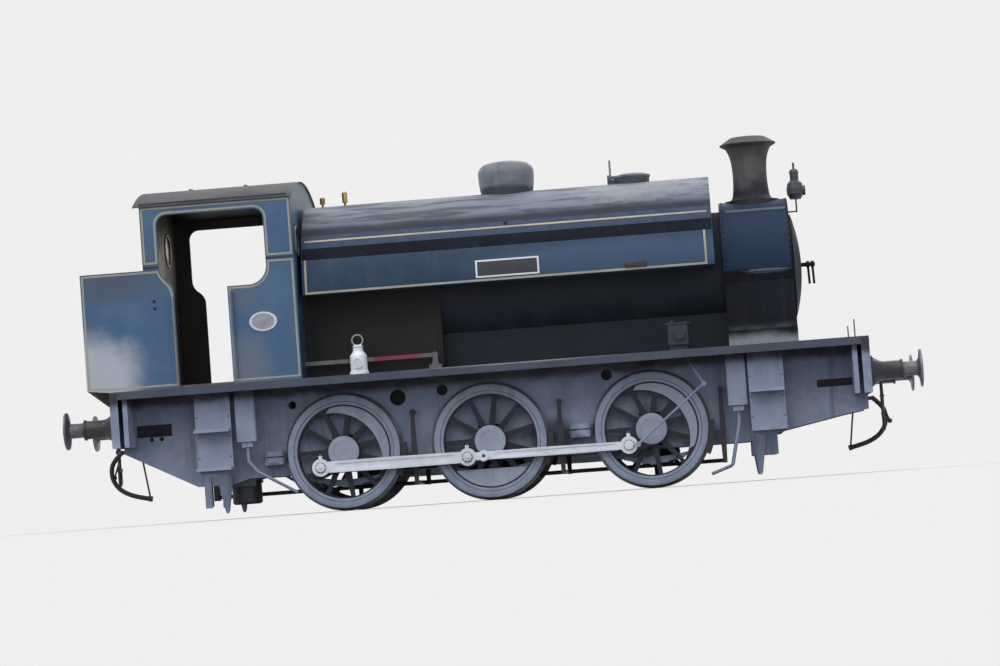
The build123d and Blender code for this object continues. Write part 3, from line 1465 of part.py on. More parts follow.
def hose_pipe(end):
    """The brake pipe under the beam, its clip, and the plug that holds the hose's loose end."""
    y = end * hose_y
    face = end * beam_face_x
    route = hose_route(end)
    elbow_x = face + end * (hose_start_out - hose_elbow * math.cos(math.radians(45)))
    pipe = bar((face - end * 180, y, hose_pipe_z), (elbow_x, y, hose_pipe_z), 44)
    pipe += Pos(elbow_x, y, hose_pipe_z) * Sphere(26)
    pipe += bar((elbow_x, y, hose_pipe_z), route[0], 52)
    pipe += block(face - end * 28, face - end * 4, y - 30, y + 30, hose_pipe_z, beam_bottom_z)
    last = Vector(*route[-1])
    ahead = (last - Vector(*route[-2])).normalized()
    plug_end = last + ahead * 46
    plug = bar(last, plug_end, 60)
    plug += bar(last + ahead * 24, (face - end * 150, y, hose_pipe_z), 20)
    return pipe + plug


def hose_pipes():
    return Compound(children=[hose_pipe(end) for end in ends.values()])


nodes = {
    "frame_stays": frame_stays,
    "cylinder_block": cylinder_block,
    "axleboxes": axleboxes,
    "springs": springs,
    "buffer_beam_front": lambda: buffer_beam(1) + drawhook(1),
    "buffer_beam_rear": lambda: buffer_beam(-1) + drawhook(-1),
    "buffer_housings": lambda: each_corner(buffer_housing),
    "buffer_rams": lambda: each_corner(buffer_ram),
    "screw_coupling_front": lambda: screw_coupling(1),
    "screw_coupling_rear": lambda: screw_coupling(-1),
    "brake_hose_front": lambda: brake_hose(1),
    "brake_hose_rear": lambda: brake_hose(-1),
    "hose_pipes": hose_pipes,
    "platforms": platforms,
    "steps": steps,
    "sandboxes": sandboxes,
    "brake_hangers": brake_hangers,
    "brake_rods": lambda: Compound(children=[brake_rods(), brake_cylinder()]),
    "guard_irons": guard_irons,
    "boiler": boiler,
    "firebox": firebox,
    "smokebox": smokebox,
    "smokebox_saddle": smokebox_saddle,
    "blast_pipe": blast_pipe,
    "smokebox_door": smokebox_door,
    "door_hinges": door_hinges,
    "chimney": chimney,
    "chimney_cap": chimney_cap,
    "saddle_tank": saddle_tank,
    "dome_cover": dome_cover,
    "tank_filler": tank_filler,
    "tank_lid": tank_lid,
    "whistles": whistles,
    "lubricator": lubricator,
    "reversing_rod": reversing_rod,
    "hand_lamp": hand_lamp,
    "headlamp": headlamp,
    "cab_front": cab_front,
    "cab_rear": cab_rear,
    "bunker": bunker,
    "cab_roof": cab_roof,
    "roof_hatch": roof_hatch,
    "cab_floor": cab_floor,
    "cab_fittings": lambda: Compound(children=[cab_fittings(), reverser_stand()]),
}
sided_nodes = {
    "frame_plate": frame_plate,
    "running_plate": running_plate,
    "coupling_rods": coupling_rods,
    "cab_side": cab_side,
}
for base_name, make in sided_nodes.items():
    for side_name, side in sides.items():
        nodes[base_name + "_" + side_name] = lambda make=make, side=side: make(side)
for row in wheelset_table:
    nodes["wheelset_" + row[0]] = lambda row=row: wheelset(*row)
    nodes["tyres_" + row[0]] = lambda row=row: tyre_pair(row[1])

os.makedirs("parts", exist_ok=True)
for node_name, make in nodes.items():
    export_step(make(), "parts/" + node_name + ".step")
print(len(nodes), "nodes, hose radii", [round(radius) for radius in hose_radii()])
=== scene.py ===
# %% [markdown]
# # A saddle tank steam locomotive, dressed
#
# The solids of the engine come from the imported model: frames, wheels, boiler, tank and cab
# stand where they belong, in metres, with +X towards the chimney and +Y to the left-hand
# side. This lesson gives them their paint, metal and dirt, and adds what is too thin or too
# small for the solids: lining, rivets, plates, glass and the rubber of the brake hoses.

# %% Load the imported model
import math

import bmesh
import bpy
from mathutils import Matrix, Vector


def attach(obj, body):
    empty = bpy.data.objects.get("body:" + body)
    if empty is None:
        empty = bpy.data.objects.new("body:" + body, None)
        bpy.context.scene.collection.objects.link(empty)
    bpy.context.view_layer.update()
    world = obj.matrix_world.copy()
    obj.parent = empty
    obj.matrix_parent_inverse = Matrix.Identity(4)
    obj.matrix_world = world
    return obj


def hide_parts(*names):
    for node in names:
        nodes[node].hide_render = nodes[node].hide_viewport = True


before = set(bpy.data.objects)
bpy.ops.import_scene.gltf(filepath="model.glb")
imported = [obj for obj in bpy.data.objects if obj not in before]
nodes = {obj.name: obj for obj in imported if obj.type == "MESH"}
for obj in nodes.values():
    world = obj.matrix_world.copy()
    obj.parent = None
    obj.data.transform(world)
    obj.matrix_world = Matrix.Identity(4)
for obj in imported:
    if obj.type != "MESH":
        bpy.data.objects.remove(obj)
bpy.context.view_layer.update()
sides = (("right", -1), ("left", 1))
ends = (("front", 1), ("rear", -1))

# %% [markdown]
# The photograph was taken from a long way off and a little below the rails, with the engine
# on a line that climbs to the right. So the camera stands at floor level here, 37 metres
# away, and looks at the engine's side from just ahead of its middle, because the level lines
# rise to the right and the higher ones rise more. A roll about its line of sight makes the
# climb. The lens isn't shifted, so every other view of the engine is upright and centred.

# %% Camera
camera_place = Vector((2.39, -37.5, 0.05))
camera_target = Vector((0.10, 0.0, 1.84))
climb = math.radians(4.2)


def link_object(name, data):
    thing = bpy.data.objects.new(name, data)
    bpy.context.scene.collection.objects.link(thing)
    return thing


camera = link_object("camera", bpy.data.cameras.new("camera"))
camera.data.lens = 122
camera.data.clip_end = 600
sight = (camera_target - camera_place).to_track_quat("-Z", "Y")
camera.matrix_world = (Matrix.Translation(camera_place) @ sight.to_matrix().to_4x4()
                       @ Matrix.Rotation(-climb, 4, "Z"))
bpy.context.scene.camera = camera
bpy.context.scene.view_settings.view_transform = "Standard"

# %% [markdown]
# A brake hose is a length of thick rubber that hangs from an elbow under the buffer beam
# and swings back to a plug that keeps the dirt out. It could be a mesh swept along a line,
# but a curve with a round bevel keeps its length exact and stays smooth. The control points
# are the corners of the solid hose's route, given for the front of the engine. The rear one
# is the same route turned half a circle about the vertical.

# %% Brake hoses
hose_points = [
    (4.205, 0.3, 0.7776),
    (4.2616, 0.3, 0.721),
    (4.2889, 0.3, 0.6458),
    (4.2889, 0.3, 0.5608),
    (4.2582, 0.3, 0.4763),
    (4.1971, 0.3, 0.4035),
    (4.1018, 0.3, 0.3485),
    (3.9972, 0.3, 0.3145),
    (3.8994, 0.3, 0.2937),
]
hose_dia = 0.052
hoses = []
for end_name, end in ends:
    curve = bpy.data.curves.new("hose_" + end_name, "CURVE")
    curve.dimensions = "3D"
    curve.bevel_depth = hose_dia / 2
    curve.bevel_resolution = 6
    curve.resolution_u = 10
    spline = curve.splines.new("NURBS")
    spline.points.add(len(hose_points) - 1)
    for control, (x, y, z) in zip(spline.points, hose_points):
        control.co = (end * x, end * y, z, 1)
    spline.order_u = 3
    spline.use_endpoint_u = True
    hose = link_object("brake_hose_" + end_name + "_rubber", curve)
    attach(hose, "engine")
    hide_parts("brake_hose_" + end_name)
    x, y, z = hose_points[0]
    hoses.append(hose)
print("hoses:", [hose.name for hose in hoses])

# %% [markdown]
# A finish is a small graph of nodes, and so are the floor's and the sky's colours. It could
# be wired by hand in the node editor, but a graph that is written down can be built again
# with other numbers. A few helpers keep the writing short.

# %% Helpers for nodes
def add_node(tree, kind, **settings):
    made = tree.nodes.new(kind)
    for key, value in settings.items():
        setattr(made, key, value)
    return made


def feed(tree, socket, value):
    """Links a socket to another one, or sets it to a number or a colour."""
    if isinstance(value, bpy.types.NodeSocket):
        tree.links.new(value, socket)
    elif isinstance(value, tuple):
        socket.default_value = (*value, 1)
    else:
        socket.default_value = value


def add_math(tree, operation, first, second=0.0):
    """A Math node on two sockets or numbers; returns its result socket."""
    made = add_node(tree, "ShaderNodeMath", operation=operation)
    feed(tree, made.inputs[0], first)
    feed(tree, made.inputs[1], second)
    return made.outputs[0]


def lay_over(tree, below, mask, colour):
    """Mixes a colour over what is below, by a mask; returns the colour socket."""
    mixer = add_node(tree, "ShaderNodeMix", data_type="RGBA")
    feed(tree, mixer.inputs["Factor"], mask)
    feed(tree, mixer.inputs["A"], below)
    feed(tree, mixer.inputs["B"], colour)
    return mixer.outputs["Result"]


def pale_where_seen(tree, scattered, shown, socket):
    """One colour for scattered light, another for the camera, for reflections and through glass."""
    ray = add_node(tree, "ShaderNodeLightPath")
    seen = ray.outputs["Is Camera Ray"]
    for other in ("Is Glossy Ray", "Is Transmission Ray"):
        seen = add_math(tree, "MAXIMUM", seen, ray.outputs[other])
    feed(tree, socket, lay_over(tree, scattered, seen, shown))


def start_material(name):
    """A new material; returns it with its node tree and its shader."""
    material = bpy.data.materials.new(name)
    material.use_nodes = True
    return material, material.node_tree, material.node_tree.nodes["Principled BSDF"]


# %% [markdown]
# The engine stands on a wide pale disc. There is no wall, which would hide the engine from
# behind, so the sky has the floor's colour and the two meet without a line. An engine stands
# over dark ballast, which throws hardly any light up between its frames. So the floor is pale
# for the camera and in reflections, and dark for the light that it scatters. Its back is
# see-through, so that the engine can be looked at from below too.

# %% Floor
def mesh_from(name, bm):
    """Ends the modelling of a piece: the bmesh becomes a mesh object at the origin."""
    mesh = bpy.data.meshes.new(name)
    bm.to_mesh(mesh)
    bm.free()
    return link_object(name, mesh)


floor_bm = bmesh.new()
bmesh.ops.create_circle(floor_bm, cap_ends=True, radius=90, segments=96)
floor_bm.normal_update()
bmesh.ops.reverse_faces(floor_bm, faces=[face for face in floor_bm.faces if face.normal.z < 0])
floor = mesh_from("pale_floor", floor_bm)
floor_finish, tree, shader = start_material("pale floor")
shader.inputs["Roughness"].default_value = 1.0
shader.inputs["Specular IOR Level"].default_value = 0.0
pale_where_seen(tree, (0.10, 0.10, 0.10), (0.715, 0.672, 0.615), shader.inputs["Base Color"])
from_below = add_node(tree, "ShaderNodeNewGeometry").outputs["Backfacing"]
feed(tree, shader.inputs["Alpha"], add_math(tree, "SUBTRACT", 1.0, from_below))
floor.data.materials.append(floor_finish)

# %% [markdown]
# A bright cloudy sky lit the engine, so the light is broad: the world gives an even glow, a
# large soft sun from high on the near side shapes the tank and the wheels, and a weaker one
# from behind puts a rim on the roof and the chimney. The sky itself is pale where the
# polished paint and the rods reflect it.

# %% Light
world = bpy.data.worlds.new("overcast")
bpy.context.scene.world = world
world.use_nodes = True
sky = world.node_tree.nodes["Background"]
pale_where_seen(world.node_tree, (0.80, 0.88, 1.0), (0.861, 0.861, 0.858), sky.inputs["Color"])
sky.inputs["Strength"].default_value = 1.0


def soft_sun(name, strength, spread_deg, azimuth_deg, height_deg, colour):
    """A sun as wide as a bright patch of cloud; an azimuth of 0 is the near side."""
    lamp = bpy.data.lights.new(name, "SUN")
    lamp.energy = strength
    lamp.angle = math.radians(spread_deg)
    lamp.color = colour
    turn = math.radians(azimuth_deg)
    rise = math.radians(height_deg)
    level = math.cos(rise)
    towards = Vector((math.sin(turn) * level, -math.cos(turn) * level, math.sin(rise)))
    link_object(name, lamp).rotation_euler = towards.to_track_quat("Z", "Y").to_euler()


soft_sun("bright_cloud", 1.2, 60, -25, 56, (1.0, 0.97, 0.93))
soft_sun("far_sky", 0.5, 40, 160, 40, (0.92, 0.96, 1.0))
print("lights:", [light.name for light in bpy.data.lights])

# %% [markdown]
# ## Finishes
#
# Every finish on a working engine is a clean surface with layers over it: mottled paint,
# dust on whatever faces up, dirt that rain pulls down, and metal showing at the edges. Each
# layer is wanted in many materials, so each is a node group that is built once. A group
# takes a few numbers and gives back a mask, and the material decides what the mask does.

# %% Helpers for node groups
def start_effect(name, **inputs):
    """A node group with a mask for its output; returns it and its inputs, given with usual values."""
    tree = bpy.data.node_groups.new(name, "ShaderNodeTree")
    for label, value in inputs.items():
        socket = tree.interface.new_socket(name=label, in_out="INPUT", socket_type="NodeSocketFloat")
        socket.default_value = value
    tree.interface.new_socket(name="Mask", in_out="OUTPUT", socket_type="NodeSocketFloat")
    return tree, add_node(tree, "NodeGroupInput").outputs


def end_effect(tree, mask, *others):
    """Multiplies the masks and sends the result out of the group."""
    for other in others:
        mask = add_math(tree, "MULTIPLY", mask, other)
    feed(tree, add_node(tree, "NodeGroupOutput").inputs["Mask"], mask)


def add_ramp(tree, value, low, high):
    """Spreads a value from low..high to 0..1 with soft ends."""
    made = add_node(tree, "ShaderNodeMapRange", interpolation_type="SMOOTHSTEP")
    feed(tree, made.inputs["Value"], value)
    feed(tree, made.inputs["From Min"], low)
    feed(tree, made.inputs["From Max"], high)
    return made.outputs["Result"]


def add_noise(tree, scale, detail, stretch=(1, 1, 1)):
    """Noise in the piece's own coordinates, stretched if asked; returns its value socket."""
    mapping = add_node(tree, "ShaderNodeMapping")
    mapping.inputs["Scale"].default_value = stretch
    feed(tree, mapping.inputs["Vector"], add_node(tree, "ShaderNodeTexCoord").outputs["Object"])
    noise = add_node(tree, "ShaderNodeTexNoise")
    noise.inputs["Detail"].default_value = detail
    noise.inputs["Roughness"].default_value = 0.6
    feed(tree, noise.inputs["Scale"], scale)
    feed(tree, noise.inputs["Vector"], mapping.outputs["Vector"])
    return noise.outputs["Fac"]


def split(tree, vector):
    """The X, Y and Z sockets of a vector."""
    parts = add_node(tree, "ShaderNodeSeparateXYZ")
    feed(tree, parts.inputs[0], vector)
    return parts.outputs


# %% [markdown]
# Paint doesn't age evenly: it goes chalky in patches, from a hand's breadth to a metre
# across. Noise between two limits gives such patches, at any size.

# %% Mottling
tree, given = start_effect("mottle", Scale=3.0, Low=0.4, High=0.65)
end_effect(tree, add_ramp(tree, add_noise(tree, given["Scale"], 6), given["Low"], given["High"]))

# %% [markdown]
# Dust lies where it can: the normal's upward part says how flat a place is, and noise
# breaks the edge of the layer, because wind and boots clear some of it.

# %% Settled dust
tree, given = start_effect("settled_dust", Scale=9.0, Amount=0.6)
normal = add_node(tree, "ShaderNodeNewGeometry").outputs["Normal"]
upward = add_ramp(tree, split(tree, normal)["Z"], 0.25, 0.95)
grains = add_ramp(tree, add_noise(tree, given["Scale"], 8), 0.3, 0.62)
end_effect(tree, upward, grains, given["Amount"])

# %% [markdown]
# Rain pulls dirt down in narrow runs. They could be painted one by one, but noise that is
# drawn out downwards makes them everywhere at once, and no two are alike.

# %% Rain streaks
tree, given = start_effect("rain_streaks", Scale=7.0, Amount=0.4)
runs = add_ramp(tree, add_noise(tree, given["Scale"], 5, (1, 1, 0.07)), 0.5, 0.74)
end_effect(tree, runs, given["Amount"])

# %% [markdown]
# Paint goes first at the corners. A Bevel node rounds the normal near an edge, so the angle
# between it and the true normal marks the edges of any solid, without a painted map.

# %% Edge wear
tree, given = start_effect("edge_wear", Width=0.006, Amount=0.7)
rounded = add_node(tree, "ShaderNodeBevel", samples=4)
feed(tree, rounded.inputs["Radius"], given["Width"])
angle = add_node(tree, "ShaderNodeVectorMath", operation="DOT_PRODUCT")
feed(tree, angle.inputs[0], rounded.outputs["Normal"])
feed(tree, angle.inputs[1], add_node(tree, "ShaderNodeNewGeometry").outputs["Normal"])
edge = add_ramp(tree, add_math(tree, "SUBTRACT", 1.0, angle.outputs["Value"]), 0.02, 0.2)
chips = add_ramp(tree, add_noise(tree, 22.0, 6), 0.42, 0.6)
end_effect(tree, edge, chips, given["Amount"])

# %% [markdown]
# Many pieces change along a height or a depth: a tank is dusty on its shoulders, a stack is
# black at its foot, a cab sheet is blue outside and brown inside. A group for each axis
# gives the mask of such a zone, with a ragged edge where the wear made it and a sharp one
# where a painter did. Where Low is above High, the zone runs the other way. The one for Y
# takes both sides of the engine alike.

# %% Zones along an axis
def torn(tree, value, given, detail):
    """Moves a value to and fro by noise, so that the edge of its ramp is ragged."""
    tear = add_math(tree, "SUBTRACT", add_noise(tree, given["Scale"], detail), 0.5)
    return add_math(tree, "ADD", value, add_math(tree, "MULTIPLY", tear, given["Ragged"]))


for axis_name in "XYZ":
    tree, given = start_effect("zone_" + axis_name, Low=0.0, High=1.0, Ragged=0.0, Scale=4.0, Amount=1.0)
    along = split(tree, add_node(tree, "ShaderNodeTexCoord").outputs["Object"])[axis_name]
    if axis_name == "Y":
        along = add_math(tree, "ABSOLUTE", along)
    zone = add_ramp(tree, torn(tree, along, given, 5), given["Low"], given["High"])
    end_effect(tree, zone, given["Amount"])

# %% [markdown]
# Water that is spilt on the tank's top dries in long streaks along it. This is noise drawn
# out along X, and it starts at a given height.

# %% Streaks along the tank
tree, given = start_effect("level_streaks", Above=3.0, Scale=8.0, Amount=0.7)
height = split(tree, add_node(tree, "ShaderNodeTexCoord").outputs["Object"])["Z"]
higher = add_math(tree, "SUBTRACT", height, given["Above"])
lines = add_ramp(tree, add_noise(tree, given["Scale"], 6, (0.13, 1, 1)), 0.44, 0.60)
end_effect(tree, add_ramp(tree, higher, 0.0, 0.05), lines, given["Amount"])

# %% [markdown]
# Some marks stay in one place: the pale patch where water has dried on a corner, the crust
# round the filler. This group gives a soft oval about a point of the engine's side, with
# noise to tear its edge.

# %% A mark in one place
tree, given = start_effect("mark", X=0.0, Z=1.0, Half_Length=0.5, Half_Height=0.5, Ragged=0.6, Scale=4.0,
                           Amount=1.0)
parts = split(tree, add_node(tree, "ShaderNodeTexCoord").outputs["Object"])
squares = []
for axis_name, half in (("X", "Half_Length"), ("Z", "Half_Height")):
    away = add_math(tree, "SUBTRACT", parts[axis_name], given[axis_name])
    squares.append(add_math(tree, "POWER", add_math(tree, "DIVIDE", away, given[half]), 2.0))
away = torn(tree, add_math(tree, "SQRT", add_math(tree, "ADD", *squares)), given, 6)
end_effect(tree, add_ramp(tree, away, 1.0, 0.35), given["Amount"])
print("effects:", [group.name for group in bpy.data.node_groups])

# %% [markdown]
# One function lays the first four masks over a base colour. The colours are the material's
# own; the order is the order in which a real surface gets them: paint, patches in the paint,
# streaks, dust, and bare metal last. What is the same all over, such as the depth of the
# varnish, is set on the shader itself.

# %% A weathered finish from its layers
bare_steel = (0.32, 0.31, 0.30)
road_dust = (0.24, 0.225, 0.205)
finishes = {}


def use_effect(tree, name, **values):
    """Places a node group and sets its numbers; returns the mask socket."""
    made = add_node(tree, "ShaderNodeGroup", node_tree=bpy.data.node_groups[name])
    for label, value in values.items():
        made.inputs[label].default_value = value
    return made.outputs["Mask"]


def weathered(name, base, patch, streak, dust=road_dust, bare=bare_steel, patch_size=3.0,
              patch_range=(0.4, 0.65), streaks=0.3, dust_amount=0.5, wear=0.4, roughness=(0.35, 0.7),
              metallic=0.0, coat=0.0, gloss=0.5, grain=60.0, bump=0.0006):
    """Makes a finish and keeps it in finishes under its name."""
    finishes[name], tree, shader = start_material(name)
    patches = use_effect(tree, "mottle", Scale=patch_size, Low=patch_range[0], High=patch_range[1])
    runs = use_effect(tree, "rain_streaks", Amount=streaks)
    settled = use_effect(tree, "settled_dust", Amount=dust_amount)
    worn = use_effect(tree, "edge_wear", Amount=wear)
    colour = base
    for mask, layer in ((patches, patch), (runs, streak), (settled, dust), (worn, bare)):
        colour = lay_over(tree, colour, mask, layer)
    feed(tree, shader.inputs["Base Color"], colour)
    dull = add_math(tree, "MAXIMUM", add_math(tree, "MAXIMUM", patches, runs), settled)
    spread = add_node(tree, "ShaderNodeMapRange")
    spread.inputs["To Min"].default_value = roughness[0]
    spread.inputs["To Max"].default_value = roughness[1]
    feed(tree, spread.inputs["Value"], dull)
    feed(tree, shader.inputs["Roughness"], spread.outputs["Result"])
    shader.inputs["Metallic"].default_value = metallic
    shader.inputs["Coat Weight"].default_value = coat
    shader.inputs["Coat Roughness"].default_value = 0.2
    shader.inputs["Specular IOR Level"].default_value = gloss
    relief = add_node(tree, "ShaderNodeBump")
    relief.inputs["Strength"].default_value = 0.6
    relief.inputs["Distance"].default_value = bump
    feed(tree, relief.inputs["Height"], add_noise(tree, grain, 4))
    feed(tree, shader.inputs["Normal"], relief.outputs["Normal"])


# %% [markdown]
# The colours are linear values. The blue is a dark slate blue under varnish that has gone
# chalky in patches. The frames and wheels are a dusty grey-blue, the boiler and the saddle
# a soft black, and the firebox clothing a warmer black. A few finishes are the same paint on
# a larger or dirtier piece, so they share their values for wear.

# %% The finishes
cab_brown = (0.040, 0.034, 0.026)
end_blue = (0.030, 0.062, 0.110)
rusty = (0.10, 0.08, 0.07)
blue = dict(patch=(0.092, 0.165, 0.270), streak=(0.085, 0.105, 0.140), dust=(0.17, 0.18, 0.20),
            bare=(0.14, 0.16, 0.18), patch_size=1.6, dust_amount=0.3, wear=0.25, roughness=(0.42, 0.6),
            coat=0.08, gloss=0.35)
weathered("cab blue", (0.058, 0.128, 0.235), **blue)
weathered("cab end blue", end_blue, **blue)
weathered("bunker blue", (0.060, 0.160, 0.315), **blue)
weathered("tank blue", (0.019, 0.043, 0.088),
          **(blue | dict(patch=(0.034, 0.060, 0.102), gloss=0.22, coat=0.0)))
weathered("engine black", (0.012, 0.013, 0.018), (0.022, 0.024, 0.031), (0.05, 0.05, 0.052),
          (0.12, 0.12, 0.125), streaks=0.25, dust_amount=0.45, wear=0.25, roughness=(0.38, 0.65), coat=0.15)
weathered("boiler black", (0.017, 0.020, 0.028), (0.030, 0.033, 0.043), (0.04, 0.04, 0.046),
          (0.05, 0.05, 0.06), streaks=0.15, dust_amount=0.3, wear=0.05, roughness=(0.55, 0.75), gloss=0.2)
weathered("band black", (0.005, 0.006, 0.011), (0.012, 0.016, 0.027), (0.02, 0.024, 0.034),
          (0.05, 0.05, 0.06), patch_size=2.2, dust_amount=0.1, wear=0.0, roughness=(0.55, 0.75), gloss=0.1)
weathered("firebox black", (0.016, 0.016, 0.016), (0.030, 0.029, 0.027), (0.05, 0.047, 0.043),
          patch_size=2.0, dust_amount=0.3, wear=0.1, roughness=(0.55, 0.75), gloss=0.2)
weathered("shadow black", (0.006, 0.006, 0.008), (0.012, 0.012, 0.014), (0.02, 0.02, 0.02),
          (0.03, 0.03, 0.03), (0.02, 0.02, 0.02), dust_amount=0.2, wear=0.0, roughness=(0.7, 0.9))
soot = dict(bare=rusty, patch_size=1.6, wear=0.2, roughness=(0.5, 0.75), gloss=0.15)
weathered("smokebox black", (0.005, 0.006, 0.010), (0.012, 0.015, 0.022), (0.05, 0.05, 0.055),
          (0.15, 0.15, 0.15), streaks=0.25, dust_amount=0.3, **soot)
weathered("drum black", (0.003, 0.004, 0.007), (0.008, 0.010, 0.016), (0.03, 0.032, 0.04),
          (0.10, 0.10, 0.11), dust_amount=0.2, **soot)
road_grime = dict(patch_size=3.6, patch_range=(0.36, 0.64), streaks=0.5, dust_amount=0.6, wear=0.35,
                  roughness=(0.55, 0.8), bump=0.001)
weathered("frame grey", (0.235, 0.275, 0.375), (0.355, 0.395, 0.495), (0.060, 0.066, 0.086), **road_grime)
weathered("box grey", (0.265, 0.305, 0.410), (0.340, 0.380, 0.475), (0.10, 0.106, 0.126), **road_grime)
weathered("plate grey", (0.046, 0.057, 0.086), (0.075, 0.088, 0.122), (0.03, 0.034, 0.046),
          (0.13, 0.13, 0.14), patch_size=2.0, streaks=0.35, roughness=(0.45, 0.75), bump=0.001)
# The wheels' castings are dark for their oil, and also as a painted shade between the spokes and inside the
# rims.
weathered("wheel oil and shade", (0.014, 0.016, 0.023), (0.032, 0.037, 0.052), (0.04, 0.04, 0.046), patch_size=5.0,
          streaks=0.35, dust_amount=0.2, wear=0.15, roughness=(0.45, 0.7), gloss=0.3, bump=0.001)
weathered("rim grey", (0.270, 0.310, 0.410), (0.350, 0.390, 0.480), (0.08, 0.086, 0.104), patch_size=5.0,
          dust_amount=0.3, wear=0.3, roughness=(0.45, 0.7))
weathered("pale wheel grey", (0.330, 0.360, 0.445), (0.40, 0.43, 0.505), (0.11, 0.115, 0.13),
          patch_size=6.0, streaks=0.35, dust_amount=0.2, wear=0.2, roughness=(0.4, 0.65))
weathered("tyre steel", (0.17, 0.18, 0.20), (0.11, 0.115, 0.13), (0.07, 0.065, 0.06), bare=(0.5, 0.5, 0.5),
          patch_size=6.0, dust_amount=0.3, wear=0.5, roughness=(0.35, 0.6), metallic=0.55)
weathered("bright rod", (0.88, 0.89, 0.93), (0.76, 0.78, 0.83), (0.52, 0.52, 0.52), (0.50, 0.49, 0.47),
          (0.8, 0.8, 0.8), patch_size=5.0, streaks=0.25, dust_amount=0.1, wear=0.2, roughness=(0.30, 0.5))
dull_rod = dict(streak=(0.08, 0.075, 0.07), patch_size=5.0, dust_amount=0.4, roughness=(0.4, 0.65))
weathered("rod grey", (0.16, 0.16, 0.165), (0.10, 0.10, 0.105), **dull_rod)
weathered("reversing rod", (0.20, 0.195, 0.17), (0.13, 0.13, 0.12), **dull_rod)
weathered("rough casting", (0.020, 0.022, 0.028), (0.038, 0.041, 0.050), (0.06, 0.055, 0.05), streaks=0.4,
          wear=0.2, roughness=(0.6, 0.85), grain=25.0, bump=0.002)
weathered("chimney iron", (0.036, 0.037, 0.041), (0.085, 0.083, 0.078), (0.016, 0.017, 0.021),
          (0.13, 0.126, 0.118), (0.12, 0.09, 0.07), patch_size=4.0, patch_range=(0.36, 0.62), streaks=0.8,
          dust_amount=0.3, wear=0.2, roughness=(0.55, 0.8), grain=25.0, bump=0.0015)
weathered("dome paint", (0.115, 0.140, 0.195), (0.205, 0.214, 0.232), (0.030, 0.036, 0.052),
          (0.14, 0.136, 0.125), patch_size=4.5, patch_range=(0.36, 0.6), streaks=0.6, dust_amount=0.4,
          wear=0.2, roughness=(0.4, 0.65), coat=0.1)
weathered("old brass", (0.50, 0.34, 0.12), (0.30, 0.21, 0.09), (0.12, 0.10, 0.07), (0.20, 0.18, 0.14),
          (0.65, 0.48, 0.22), patch_size=8.0, dust_amount=0.2, wear=0.3, roughness=(0.25, 0.5), metallic=0.9)
weathered("plate field", (0.40, 0.40, 0.42), (0.30, 0.30, 0.32), (0.22, 0.22, 0.22), (0.45, 0.44, 0.42),
          patch_size=14.0, dust_amount=0.2, streaks=0.25, roughness=(0.3, 0.5))
white = dict(dust=(0.6, 0.59, 0.57), bare=(0.4, 0.4, 0.4), roughness=(0.3, 0.5))
weathered("lamp white", (0.90, 0.91, 0.95), (0.82, 0.83, 0.87), (0.62, 0.61, 0.59), dust_amount=0.2,
          streaks=0.2, coat=0.1, **white)
weathered("white paint", (0.78, 0.80, 0.86), (0.68, 0.69, 0.72), (0.50, 0.49, 0.47), dust_amount=0.25,
          streaks=0.25, coat=0.2, **white)
weathered("cream line", (0.44, 0.40, 0.27), (0.34, 0.32, 0.25), (0.20, 0.20, 0.19), (0.35, 0.33, 0.30),
          (0.3, 0.3, 0.3), streaks=0.4, dust_amount=0.1, wear=0.0, roughness=(0.35, 0.55), coat=0.2)
weathered("lamp grey", (0.042, 0.045, 0.054), (0.075, 0.080, 0.094), (0.03, 0.031, 0.036),
          (0.14, 0.136, 0.13), (0.30, 0.28, 0.24), patch_size=10.0, dust_amount=0.3, roughness=(0.35, 0.6))
weathered("cab brown", cab_brown, (0.060, 0.050, 0.038), (0.02, 0.018, 0.016), (0.10, 0.09, 0.08),
          dust_amount=0.4, wear=0.3, roughness=(0.4, 0.65), coat=0.1)
weathered("roof paint", (0.024, 0.026, 0.033), (0.045, 0.047, 0.053), (0.08, 0.08, 0.08),
          (0.075, 0.075, 0.08), patch_size=1.6, streaks=0.25, dust_amount=0.4, wear=0.3,
          roughness=(0.45, 0.7), bump=0.001)
weathered("floor wood", (0.10, 0.075, 0.055), (0.16, 0.125, 0.09), (0.03, 0.028, 0.026), (0.10, 0.09, 0.08),
          (0.22, 0.17, 0.12), patch_size=6.0, streaks=0.2, wear=0.5, roughness=(0.6, 0.85), bump=0.0015)
weathered("hose rubber", (0.014, 0.014, 0.015), (0.03, 0.03, 0.032), (0.06, 0.058, 0.055),
          bare=(0.05, 0.05, 0.05), dust_amount=0.6, wear=0.1, roughness=(0.6, 0.85))
print(len(finishes), "finishes")

# %% [markdown]
# Zones and marks come next. The tank's top has a bleached crust that water and steam left,
# dark between its patches. The cab sheets are dark brown inside. Soot and oil blacken the
# foot of the stack, and dust pales the foot of the saddle. Some marks are painted light: a
# painted shade at the foot of the dome and along the tops of the frames under the running
# plate, and painted reflections of the sky on the smokebox and low on the bunker.

# %% Zones and marks on the finishes
def tint(name, colour, effect, **values):
    """Lays one more colour over a finish, where an effect's mask says."""
    tree = finishes[name].node_tree
    socket = tree.nodes["Principled BSDF"].inputs["Base Color"]
    below = socket.links[0].from_socket
    feed(tree, socket, lay_over(tree, below, use_effect(tree, effect, **values), colour))


def zone(name, colour, axis, low, high, amount=1.0, ragged=0.0, scale=4.0):
    tint(name, colour, "zone_" + axis, Low=low, High=high, Ragged=ragged, Scale=scale, Amount=amount)


def mark(name, colour, x, z, half_length, half_height, ragged, scale, amount):
    tint(name, colour, "mark", X=x, Z=z, Half_Length=half_length, Half_Height=half_height, Ragged=ragged,
         Scale=scale, Amount=amount)


